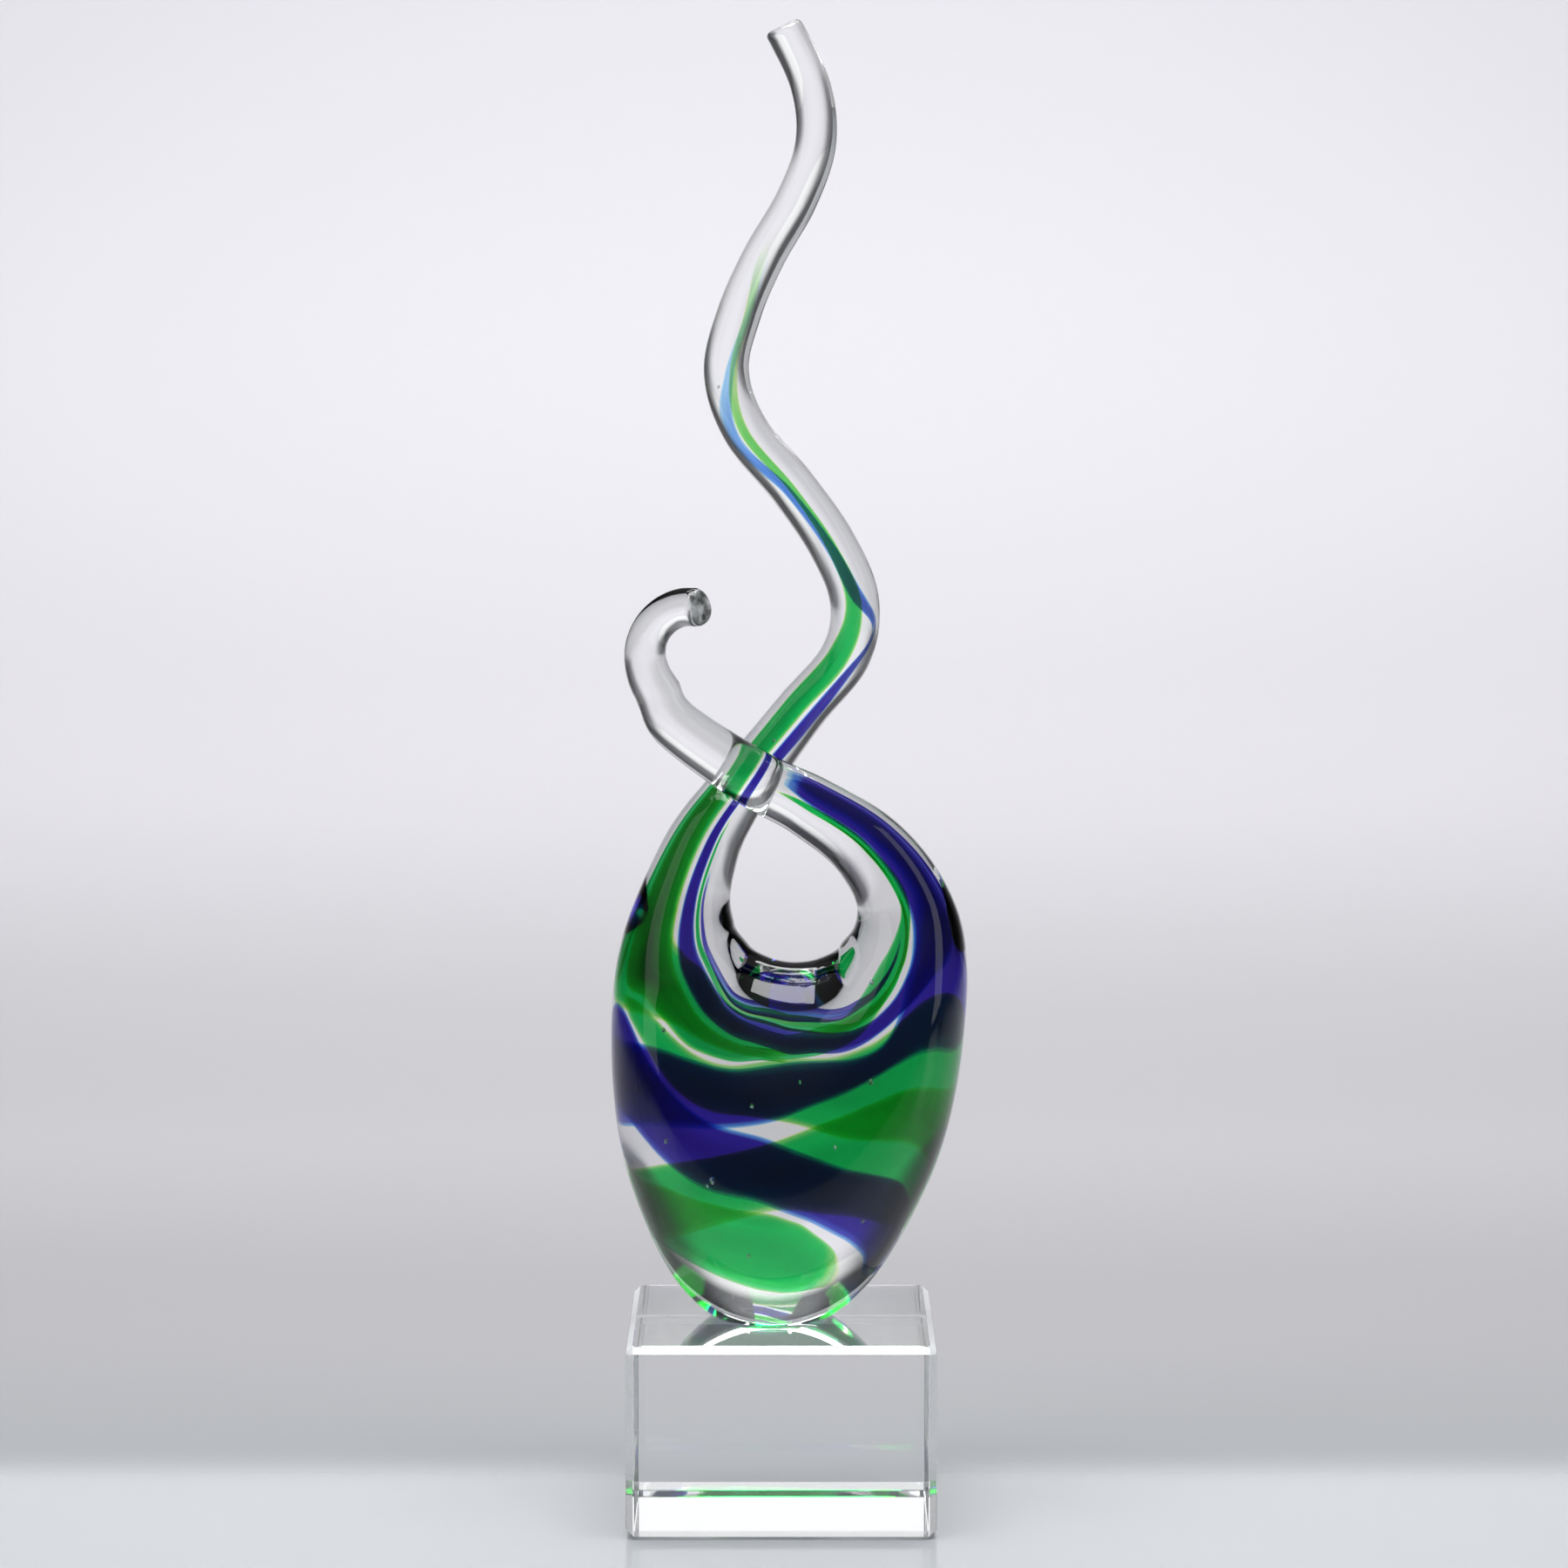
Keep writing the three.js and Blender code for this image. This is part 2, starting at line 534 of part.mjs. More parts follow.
const CLEAR_GLASS = { color: 0xeef3f2, roughness: 0.03, metalness: 0, transparent: true, opacity: 0.3 };
const GREEN_GLASS = { color: 0x10a646, roughness: 0.05, metalness: 0 };
const BLUE_GLASS = { color: 0x32238c, roughness: 0.05, metalness: 0 };
const CRYSTAL = { color: 0xf4f7f8, roughness: 0.02, metalness: 0, transparent: true, opacity: 0.3 };
const ADHESIVE = { color: 0xe9ecec, roughness: 0.2, metalness: 0, transparent: true, opacity: 0.4 };

function piece(name, geometry, finish) {
  const mesh = new THREE.Mesh(geometry, new THREE.MeshStandardMaterial(finish));
  mesh.name = name;
  return mesh;
}

// Block: a square with cut corners, extruded with a bevel round its top and underside.
function crystalBase() {
  const x = BASE_WIDTH / 2 - BASE_BEVEL;
  const y = BASE_DEPTH / 2 - BASE_BEVEL;
  const cut = BASE_BEVEL;
  const outline = new THREE.Shape([
    [x, cut - y], [x, y - cut], [x - cut, y], [cut - x, y],
    [-x, y - cut], [-x, cut - y], [cut - x, -y], [x - cut, -y],
  ].map(([px, py]) => new THREE.Vector2(px, py)));
  const block = new THREE.ExtrudeGeometry(outline, {
    depth: BASE_HEIGHT - 2 * BASE_BEVEL, bevelThickness: BASE_BEVEL, bevelSize: BASE_BEVEL, bevelSegments: 1,
  });
  return geometryOf(solidOf(block.translate(0, 0, BASE_BEVEL)));
}

const award = new THREE.Group();
award.add(piece('crystal_base', crystalBase(), CRYSTAL));

const outer = outerGlass();
const belowFoot = slab(FOOT_LEVEL - BODY_DROP, FOOT_LEVEL);
const film = outer.intersect(slab(BASE_HEIGHT, FOOT_LEVEL));
const casing = outer.subtract(coreSweep(CLEARANCE)).subtract(belowFoot);
award.add(piece('bond_film', geometryOf(film), ADHESIVE));
award.add(piece('clear_casing', geometryOf(casing), CLEAR_GLASS));

let core = coreSweep(0).subtract(belowFoot);
for (const ribbon of ribbons) {
  const finish = ribbon.name.startsWith('green') ? GREEN_GLASS : BLUE_GLASS;
  core = core.subtract(ribbonSolid(ribbon, GROOVE_LEVEL, GROOVE_SIDE_GAP, GROOVE_FLOOR_GAP));
  award.add(piece(ribbon.name, geometryOf(ribbonSolid(ribbon, 1, 0, 0)), finish));
}
// Where two grooves nearly meet, the sliver of clear glass between them is left out.
const whole = core.decompose().reduce((most, part) => (part.volume() > most.volume() ? part : most));
award.add(piece('clear_core', geometryOf(whole), CLEAR_GLASS));

export default award;
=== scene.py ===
"""Looks of an art glass award: a loop of clear glass with green and blue ribbons in it, on a crystal block.

Sizes are in millimetres, in the award's own frame: the origin is the centre of the block's underside, +Z is
up and the front faces -Y. Meshes are written in metres, and so are the lamps.
"""

import math

import bpy
import numpy as np
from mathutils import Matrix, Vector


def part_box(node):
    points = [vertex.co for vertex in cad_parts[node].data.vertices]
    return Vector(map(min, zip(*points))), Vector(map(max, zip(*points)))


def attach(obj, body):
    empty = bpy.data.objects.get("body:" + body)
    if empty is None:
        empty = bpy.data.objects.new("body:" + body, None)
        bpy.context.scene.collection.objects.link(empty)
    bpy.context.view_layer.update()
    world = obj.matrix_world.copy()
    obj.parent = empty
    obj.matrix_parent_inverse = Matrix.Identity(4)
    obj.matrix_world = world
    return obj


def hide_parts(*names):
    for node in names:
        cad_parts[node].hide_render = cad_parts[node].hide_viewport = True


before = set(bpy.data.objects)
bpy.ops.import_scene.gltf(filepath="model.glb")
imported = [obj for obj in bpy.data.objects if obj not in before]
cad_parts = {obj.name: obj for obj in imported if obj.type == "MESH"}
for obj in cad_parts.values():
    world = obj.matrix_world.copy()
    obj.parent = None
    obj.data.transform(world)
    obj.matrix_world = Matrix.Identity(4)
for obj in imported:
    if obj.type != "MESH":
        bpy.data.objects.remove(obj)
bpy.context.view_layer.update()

# Metres in a millimetre, and millimetres in a centimetre
MM = 0.001
CM = 10.0

# Crystal block
BASE_WIDTH = 80.0
BASE_DEPTH = 80.0
BASE_HEIGHT = 50.0
BASE_BEVEL = 2.0
BASE_EDGE_BREAK = 0.22
EDGE_BREAK_SEGMENTS = 2
EDGE_BREAK_FROM_ANGLE = 20.0

# Adhesive film between the block and the ground foot: its thickness, its gap to both, the share of the foot
# that its rim takes up, and the share of the rim that its waist takes up
BOND_THICKNESS = 0.4
BOND_GAP = 0.06
BOND_RIM_SHARE = 0.98
BOND_WAIST_SHARE = 0.995
BOND_SIDES = 64

# Body: an oval, widest at BODY_LEVEL above the foot
BODY_WIDTH = 92.8
BODY_DEPTH = 58.0
BODY_LEVEL = 82.6
BODY_DROP = 88.0
BODY_RISE = 62.0
BODY_OFFSET = 2.0
BODY_LEAN = 0.055

# Loop: the oval opening
LOOP_WIDTH = 33.0
LOOP_DROP = 14.1
LOOP_LEVEL = 25.0
LOOP_OFFSET = 3.3
LOOP_RIM_DEPTH = 27.2
RIM_PINCH = 0.22
SIDE_LEAN = 0.3
BODY_FULLNESS_POWER = 0.9

# Crossing: the left strand passes behind the right one
CROSSING_OFFSET = -7.4
CROSSING_RISE = 35.1
CROSSING_FUSE = 1.2
STRAND_DIAMETER = 15.2
STRAND_TAPER = 1.3
LEFT_BOW = 3.0
RIGHT_BOW = 8.4
STRAND_PLACES = np.array([0.46, 0.78])

# Long tendril: a corkscrew that rises from the crossing
TENDRIL_RISE = 193.0
TENDRIL_START = 16.0
TENDRIL_DIAMETER = 13.4
TIP_DIAMETER = 10.0
WAVE_LENGTH = 127.0
WAVE_FIRST_SWING = 43.0
WAVE_LAG = 0.2
SWING = 19.3
SWING_LOSS = 0.082
SWING_DEPTH_SHARE = 0.42
TIP_BEND = 3.6
TIP_BEND_LENGTH = 20.0
TENDRIL_STATIONS = 13

# Curl: a spiral that closes onto CURL_RADIUS about its own centre
CURL_RADIUS = 13.2
CURL_CENTRE_LEFT = 14.6
CURL_CENTRE_RISE = 32.0
CURL_CLOSE_ANGLE = 205.0
CURL_END_ANGLE = 84.0
CURL_FLARE_POWER = 2.25
CURL_PACE_POWER = 0.8
CURL_DIAMETER = 10.0
CURL_THINNING_POWER = 3
CURL_REACH = 12.0
CURL_REACH_POWER = 3
CURL_STATIONS = 8

# Ends of the tendril and the curl: the rounding, and the share of the section that is left as a flat face
END_ROUND = 1.6
END_FACE_SHARE = 0.72

# Colour layer: the shares of the glass's half width and half depth at which the ribbons lie
LAYER_SHARE = 0.53
LAYER_FOOT_WIDE = 0.78
LAYER_FOOT_DEEP = 0.63
LAYER_SWELL_POWER = 4
RIBBON_THICKNESS_SHARE = 0.12

FOOT_LEVEL = BASE_HEIGHT + BOND_THICKNESS
BODY_Z = FOOT_LEVEL + BODY_LEVEL
LOOP_Z = BODY_Z + LOOP_LEVEL
CROSSING_Z = LOOP_Z + CROSSING_RISE
TIP_Z = CROSSING_Z + TENDRIL_RISE
CROSSING_DEPTH = STRAND_DIAMETER / 2 - CROSSING_FUSE / 2
SIDE_DEPTH = SIDE_LEAN * CROSSING_DEPTH

# Places on the glass's path, counted in stations from the tip of the tendril to the end of the curl
STRAND_STEPS = len(STRAND_PLACES) + 1
HALF_BODY_STEPS = 4
CROSS_REAR = TENDRIL_STATIONS
LOOP_LEFT = CROSS_REAR + STRAND_STEPS
BOTTOM = LOOP_LEFT + HALF_BODY_STEPS
LOOP_RIGHT = BOTTOM + HALF_BODY_STEPS
CROSS_FRONT = LOOP_RIGHT + STRAND_STEPS
CURL_END = CROSS_FRONT + CURL_STATIONS
BODY_STEP_ANGLE = 90.0 / HALF_BODY_STEPS
OUTER_TURN_RATIO = 1.28
TANGENT_STEP = 1e-3


def mix(a, b, share):
    """Straight mix of two values: a where share is 0 and b where it is 1."""
    return a + (b - a) * share


def tendril_stations():
    """Corkscrew: x swings as a cosine of the height and y as its sine, and the swing shrinks upwards."""
    low = CROSSING_Z + TENDRIL_START
    z = np.linspace(TIP_Z, low, TENDRIL_STATIONS)
    above = z - (CROSSING_Z + WAVE_FIRST_SWING)
    phase = 2 * math.pi * above / WAVE_LENGTH
    lagged = phase - np.where(phase > 0, WAVE_LAG * np.sin(phase) ** 2, 0.0)
    swing = SWING - SWING_LOSS * above
    bend = TIP_BEND * (np.maximum(0, z - (TIP_Z - TIP_BEND_LENGTH)) / TIP_BEND_LENGTH) ** 2
    radius = mix(TENDRIL_DIAMETER, TIP_DIAMETER, (z - low) / (TIP_Z - low)) / 2
    x = swing * np.cos(lagged) - bend
    y = -SWING_DEPTH_SHARE * swing * np.sin(lagged)
    return np.stack([x, y, z, radius, radius, np.full_like(z, np.nan)], axis=1)


def body_stations():
    """Body: each station joins a point of the loop's oval to one of the body's oval, which runs ahead."""
    place = np.arange(LOOP_LEFT, LOOP_RIGHT + 1)
    inner_angle = np.radians(270 + BODY_STEP_ANGLE * (place - BOTTOM))
    outer_angle = np.radians(270 + OUTER_TURN_RATIO * BODY_STEP_ANGLE * (place - BOTTOM))
    inner_x = LOOP_OFFSET + LOOP_WIDTH / 2 * np.cos(inner_angle)
    inner_z = LOOP_Z + LOOP_DROP * np.sin(inner_angle)
    rise = np.sin(outer_angle) * np.where(np.sin(outer_angle) < 0, BODY_DROP, BODY_RISE)
    outer_x = BODY_OFFSET + BODY_LEAN * rise + BODY_WIDTH / 2 * np.cos(outer_angle)
    outer_z = BODY_Z + rise
    fullness = np.maximum(0, -np.sin(inner_angle)) ** BODY_FULLNESS_POWER
    half = np.hypot(outer_x - inner_x, outer_z - inner_z) / 2
    depth = mix(LOOP_RIM_DEPTH, BODY_DEPTH, fullness) / 2
    turn = np.arctan2(outer_z - inner_z, outer_x - inner_x)
    y = -SIDE_DEPTH * np.cos(inner_angle)
    return np.stack([(inner_x + outer_x) / 2, y, (inner_z + outer_z) / 2, half, depth, turn], axis=1)


def strand_stations(side, bow, sign, places):
    """Strand: from a side of the loop to the crossing, thinning to the strand's diameter.

    A parabola bows it outwards, by bow halfway.
    """
    x = mix(side[0], CROSSING_OFFSET, places) + 4 * bow * places * (1 - places)
    y = mix(side[1], sign * CROSSING_DEPTH, places)
    z = mix(side[2], CROSSING_Z, places)
    left = (1 - places) ** STRAND_TAPER
    half = mix(STRAND_DIAMETER / 2, side[3], left)
    depth = mix(STRAND_DIAMETER / 2, side[4], left)
    return np.stack([x, y, z, half, depth, np.full_like(x, np.nan)], axis=1)


def curl_stations():
    """Curl: a polar spiral about its centre. It flares at the crossing and turns forward at its end."""
    start = 360 - math.degrees(math.atan2(CURL_CENTRE_RISE, CURL_CENTRE_LEFT))
    flare = math.hypot(CURL_CENTRE_LEFT, CURL_CENTRE_RISE) - CURL_RADIUS
    along = np.arange(1, CURL_STATIONS + 1) / CURL_STATIONS
    angle = mix(start, CURL_END_ANGLE, along ** CURL_PACE_POWER)
    opened = np.maximum(0, angle - CURL_CLOSE_ANGLE) / (start - CURL_CLOSE_ANGLE)
    reach = CURL_RADIUS + flare * opened ** CURL_FLARE_POWER
    x = CROSSING_OFFSET - CURL_CENTRE_LEFT + reach * np.cos(np.radians(angle))
    z = CROSSING_Z + CURL_CENTRE_RISE + reach * np.sin(np.radians(angle))
    y = -CROSSING_DEPTH - CURL_REACH * along ** CURL_REACH_POWER
    radius = mix(CURL_DIAMETER, STRAND_DIAMETER, (1 - along) ** CURL_THINNING_POWER) / 2
    return np.stack([x, y, z, radius, radius, np.full_like(x, np.nan)], axis=1)


def path_stations():
    """All stations, tip to curl, one a row: x, y, z, half width, half depth, and turn of the outer edge.

    Away from the body the outer edge is square to the path, on the side that is outside at the loop.
    """
    radius = STRAND_DIAMETER / 2
    body = body_stations()
    rear = np.array([[CROSSING_OFFSET, CROSSING_DEPTH, CROSSING_Z, radius, radius, np.nan]])
    front = rear * np.array([1, -1, 1, 1, 1, 1])
    left = strand_stations(body[0], -LEFT_BOW, 1, STRAND_PLACES[::-1])
    right = strand_stations(body[-1], RIGHT_BOW, -1, STRAND_PLACES)
    rows = np.concatenate([tendril_stations(), rear, left, body, right, front, curl_stations()])
    before = np.concatenate([rows[:1], rows[:-1]])
    after = np.concatenate([rows[1:], rows[-1:]])
    square = np.arctan2(before[:, 0] - after[:, 0], after[:, 2] - before[:, 2])
    rows[:, 5] = np.unwrap(np.where(np.isnan(rows[:, 5]), square, rows[:, 5]))
    return rows


STATIONS = path_stations()


def catmull(points, place):
    """Uniform Catmull-Rom spline through points, at places counted in points, straight at its ends."""
    padded = np.concatenate([2 * points[:1] - points[1:2], points, 2 * points[-1:] - points[-2:-1]])
    place = np.clip(place, 0, len(points) - 1)
    first = np.minimum(np.floor(place).astype(int), len(points) - 2)
    t = (place - first)[..., None]
    a, b, c, d = (padded[first + k] for k in range(4))
    slope_b = (c - a) / 2
    slope_c = (d - b) / 2
    cubic = 2 * b - 2 * c + slope_b + slope_c
    square = -3 * b + 3 * c - 2 * slope_b - slope_c
    return ((cubic * t + square) * t + slope_b) * t + b


def body_swell(place):
    """From 0 at the sides of the loop, and beyond them, to 1 at the bottom of the body."""
    return np.maximum(0, np.cos(np.radians(BODY_STEP_ANGLE * (place - BOTTOM))))


def layer_point(place, angle, wide_share, deep_share):
    """Point of a layer of the glass. Angle 0 is the outer edge, 90 degrees the front, 180 the loop's side.

    centre + wide_share * half * cos(angle) * across + deep_share * depth * sin(angle) * front, where across
    lies in the front view along the station's turn, and front is square to across and to the path. In the
    body the section is egg shaped: the depth is 1 + RIM_PINCH * cos(angle) times as much, so it is less on
    the loop's side than at the foot.
    """
    place, angle, wide_share, deep_share = np.broadcast_arrays(place, angle, wide_share, deep_share)
    row = catmull(STATIONS, place)
    path = STATIONS[:, :3]
    ahead = catmull(path, place + TANGENT_STEP) - catmull(path, place - TANGENT_STEP)
    turn = row[..., 5]
    across = np.stack([np.cos(turn), np.zeros_like(turn), np.sin(turn)], axis=-1)
    front = np.cross(across, ahead)
    front /= np.linalg.norm(front, axis=-1, keepdims=True)
    egg = 1 + RIM_PINCH * body_swell(place) * np.cos(angle)
    wide = (wide_share * row[..., 3] * np.cos(angle))[..., None]
    deep = (deep_share * row[..., 4] * np.sin(angle) * egg)[..., None]
    return row[..., :3] + wide * across + deep * front


def colour_point(place, angle, level):
    """Point of the colour layer, which is nearer to the surface at the foot. Level 1 is its outer face."""
    swell = body_swell(place) ** LAYER_SWELL_POWER
    wide = mix(LAYER_SHARE, LAYER_FOOT_WIDE, swell)
    deep = mix(LAYER_SHARE, LAYER_FOOT_DEEP, swell)
    return layer_point(place, angle, wide * level, deep * level)


def closed_tube(points):
    """Closed surface through rings of points, with a hub over each end: vertices and faces as arrays.

    points is rings by sides by 3. Side k of ring j joins sides k and k + 1 of rings j and j + 1.
    """
    rings, sides = points.shape[:2]
    hubs = points[[0, -1]].mean(axis=1)
    vertices = np.concatenate([points.reshape(-1, 3), hubs])
    ring, side = np.meshgrid(np.arange(rings - 1), np.arange(sides), indexing="ij")
    following = (side + 1) % sides
    quads = np.stack([ring * sides + side, (ring + 1) * sides + side,
                      (ring + 1) * sides + following, ring * sides + following], axis=-1).reshape(-1, 4)
    k = np.arange(sides)
    after = (k + 1) % sides
    last = (rings - 1) * sides
    first_fan = np.stack([np.full(sides, rings * sides), k, after], axis=-1)
    last_fan = np.stack([np.full(sides, rings * sides + 1), last + after, last + k], axis=-1)
    return vertices, quads, np.concatenate([first_fan, last_fan])


def new_piece(name, vertices, quads, triangles, flip=False):
    """Object at the origin from arrays in millimetres. With flip, all its faces are turned round."""
    if flip:
        quads = quads[:, ::-1]
        triangles = triangles[:, ::-1]
    mesh = bpy.data.meshes.new(name)
    mesh.from_pydata((vertices * MM).tolist(), [], quads.tolist() + triangles.tolist())
    mesh.validate()
    mesh.update()
    piece = bpy.data.objects.new(name, mesh)
    bpy.context.scene.collection.objects.link(piece)
    return piece


def enclosed(vertices, quads, triangles):
    """Six times the signed volume inside the faces: positive where they point outwards."""
    faces = np.concatenate([quads[:, [0, 1, 2]], quads[:, [0, 2, 3]], triangles])
    a, b, c = (vertices[faces[:, k]] for k in range(3))
    return np.sum(a * np.cross(b, c))


def outward_piece(name, points):
    """Closed tube through rings of points, with its faces turned outwards."""
    arrays = closed_tube(points)
    return new_piece(name, *arrays, flip=enclosed(*arrays) < 0)


SHARP_ANGLE = 35.0


def smooth(piece, sharp_angle=SHARP_ANGLE):
    """Smooth shading, with edges kept sharp where the faces meet at more than the angle, in degrees."""
    mesh = piece.data
    mesh.polygons.foreach_set("use_smooth", np.ones(len(mesh.polygons), dtype=bool))
    mesh.set_sharp_from_angle(angle=math.radians(sharp_angle))


# Clear glass

GLASS_SIDES = 72
GLASS_STEPS_PER_STATION = 18
ROUND_STEPS = 7


def end_scale(gap):
    """Rounded end: a quarter circle from the end face's share of the section up to the full section."""
    inset = np.clip(1 - gap / END_ROUND, 0, 1)
    return mix(END_FACE_SHARE, 1.0, np.sqrt(1 - inset ** 2))


def glass_half(name, start, finish, end_place):
    """Half of the outer surface, from start to finish, rounded at end_place, which is one of the two."""
    neighbour = end_place + 1 if end_place == start else end_place - 1
    step = np.linalg.norm(STATIONS[neighbour, :3] - STATIONS[end_place, :3])
    edge = END_ROUND / step
    rounding = edge * (1 - np.cos(np.linspace(0, math.pi / 2, ROUND_STEPS, endpoint=False)))
    count = int((finish - start) * GLASS_STEPS_PER_STATION)
    if end_place == start:
        place = np.concatenate([start + rounding, np.linspace(start + edge, finish, count)])
    else:
        place = np.concatenate([np.linspace(start, finish - edge, count), (finish - rounding)[::-1]])
    scale = end_scale(np.abs(place - end_place) * step)
    angle = np.linspace(0, 2 * math.pi, GLASS_SIDES, endpoint=False)
    return outward_piece(name, layer_point(place[:, None], angle, scale[:, None], scale[:, None]))


# Box: for each corner 0 where it is low and 1 where it is high along x, y and z, then its faces, and
# the axis that each face is square to
BOX_CORNERS = (np.arange(8)[:, None] >> np.arange(3)) & 1
BOX_FACES = np.array([[0, 2, 3, 1], [4, 5, 7, 6], [0, 1, 5, 4], [2, 6, 7, 3], [0, 4, 6, 2], [1, 3, 7, 5]])
BOX_FACE_AXES = np.array([2, 2, 1, 1, 0, 0])
NO_TRIANGLES = np.zeros((0, 3), dtype=int)
FOOT_CUT_REACH = 200.0


def foot_cutter():
    """Box that holds all that is below the ground foot: corners low or high along each axis."""
    low = np.full(3, -FOOT_CUT_REACH)
    high = np.array([FOOT_CUT_REACH, FOOT_CUT_REACH, FOOT_LEVEL])
    return new_piece("below_foot", np.where(BOX_CORNERS == 1, high, low), BOX_FACES, NO_TRIANGLES)


def join(piece, other, operation):
    """Exact boolean of two pieces, worked into the first. The other one is removed."""
    step = piece.modifiers.new(operation, "BOOLEAN")
    step.operation = operation
    step.object = other
    step.solver = "EXACT"
    graph = bpy.context.evaluated_depsgraph_get()
    mesh = bpy.data.meshes.new_from_object(piece.evaluated_get(graph))
    piece.modifiers.clear()
    piece.data = mesh
    bpy.data.objects.remove(other)


# Seeds: station, angle in degrees, share of the section, and radius in millimetres
SEEDS = np.array([
    [19.0, 74, 0.84, 0.7], [18.95, 70, 0.82, 0.45], [21.8, 96, 0.84, 0.6], [22.6, 128, 0.8, 0.5],
    [19.4, 108, 0.83, 0.5], [18.2, 62, 0.83, 0.55], [21.2, 50, 0.84, 0.5], [17.4, 80, 0.8, 0.45],
    [20.4, 118, 0.86, 0.4], [21.0, 88, 0.8, 0.4], [19.7, 55, 0.86, 0.45], [12.5, 80, 0.75, 0.35],
    [6.3, 60, 0.75, 0.3], [20.6, -70, 0.83, 0.55], [18.6, -95, 0.82, 0.5],
])
SEED_STRETCH = 1.35
SEED_SIDES = 16
SEED_RINGS = 9


def seed_bubbles():
    """Small bubbles in the clear glass, stretched upwards.

    Each is centre + radius * (cos u sin v, sin u sin v, SEED_STRETCH cos v).
    """
    u = np.linspace(0, 2 * math.pi, SEED_SIDES, endpoint=False)
    v = np.linspace(0, math.pi, SEED_RINGS + 2)[1:-1, None]
    x = np.cos(u) * np.sin(v)
    y = np.sin(u) * np.sin(v)
    z = np.broadcast_to(SEED_STRETCH * np.cos(v), x.shape)
    vertices, quads, triangles = closed_tube(np.stack([x, y, z], axis=-1))
    centre = layer_point(SEEDS[:, 0], np.radians(SEEDS[:, 1]), SEEDS[:, 2], SEEDS[:, 2])
    spread = centre[:, None] + SEEDS[:, 3, None, None] * vertices
    start = len(vertices) * np.arange(len(SEEDS))[:, None, None]
    arrays = spread.reshape(-1, 3), (quads + start).reshape(-1, 4), (triangles + start).reshape(-1, 3)
    return new_piece("seed_bubbles", *arrays, flip=enclosed(*arrays) < 0)


def clear_glass():
    """The whole clear body: two halves fused at the bottom and the crossing, a ground foot, and seeds."""
    glass = glass_half("clear_glass_body", 0, BOTTOM, 0)
    join(glass, glass_half("front_half", BOTTOM, CURL_END, CURL_END), "UNION")
    join(glass, foot_cutter(), "DIFFERENCE")
    join(glass, seed_bubbles(), "DIFFERENCE")
    smooth(glass)
    return glass


# Ribbons of coloured glass. Each row holds both edges of a ribbon: station, angle, station, angle

SPIRAL_SPREAD = 0.0245
SPIRAL_ROWS_PER_TURN = 16


def spiral_rows(marks, facing):
    """Rows of a spiral about the foot, from marks of turn, lower edge and upper edge, all in degrees.

    Turn 0 is the front, 90 the right edge, 180 the back and 270 the left edge. At distance d from the foot
    an edge is at station BOTTOM + SPIRAL_SPREAD * d * sin(turn) and at angle d * cos(turn). A facing of -1
    turns the spiral half round the body.
    """
    marks = np.array(marks, dtype=float)
    count = round((marks[-1, 0] - marks[0, 0]) / 360 * SPIRAL_ROWS_PER_TURN)
    fine = catmull(marks, np.linspace(0, len(marks) - 1, count + 1))
    turn = np.radians(fine[:, :1])
    place = BOTTOM + facing * SPIRAL_SPREAD * fine[:, 1:] * np.sin(turn)
    angle = facing * fine[:, 1:] * np.cos(turn)
    return np.stack([place[:, 0], angle[:, 0], place[:, 1], angle[:, 1]], axis=1)


def level_rows(table):
    """Rows across the path, from a table of station, first angle and second angle."""
    return np.array(table, dtype=float)[:, [0, 1, 0, 2]]


# The green swirl starts as a point at the left edge, crosses the front, goes round behind and ends in front
GREEN_SWIRL = spiral_rows([
    [-86, 124.5, 125.5], [-45, 109.5, 131.3], [0, 105.5, 132.3], [45, 92, 140.8], [90, 74, 124],
    [135, 62, 106], [180, 63, 88.5], [225, 53, 79], [270, 44, 68], [315, 34, 69.5], [360, 27, 68],
    [385, 27, 57], [412, 31, 39],
], 1)

# The blue swirl comes down the back of the right strand, then follows the green one half a turn round
BLUE_SWIRL = np.concatenate([
    level_rows([[26.6, -30, -60], [26, -6, -82], [25, -3, -85], [24, -3, -87]]),
    [[23.6, -3, 23.7, -89], [23.35, -12, 23.4, -91], [23.05, -48, 22.95, -92]],
    spiral_rows([
        [-45, 115, 128], [0, 95.5, 118.5], [45, 91, 119], [90, 88, 121], [135, 76, 107], [180, 71, 97],
        [225, 52, 80], [270, 34, 61], [300, 39, 44],
    ], -1),
])

# The green strand runs down the front of the tendril and the left strand, and thins out under the loop
GREEN_STRAND = np.concatenate([
    level_rows([
        [3.4, 82, 90], [4, 68, 100], [5, 102, 138], [6, 102, 138], [7, 60, 104], [8, 70, 102], [9, 62, 106],
        [10, 50, 118], [11, 8, 108], [12, 0, 102], [13, 3, 88], [14, 3, 84], [15, 3, 84], [16, 3, 85],
    ]),
    [
        [16.5, 3, 16.4, 88], [16.85, 12, 16.7, 92], [17.04, 50.5, 16.95, 98.5], [17.36, 76.5, 17.25, 106.5],
        [17.75, 95, 17.6, 116], [18.2, 111.5, 18.05, 126.5], [18.7, 122.5, 18.6, 133],
        [19.4, 131.5, 19.35, 135.6], [20.1, 133, 20.1, 133.8],
    ],
])

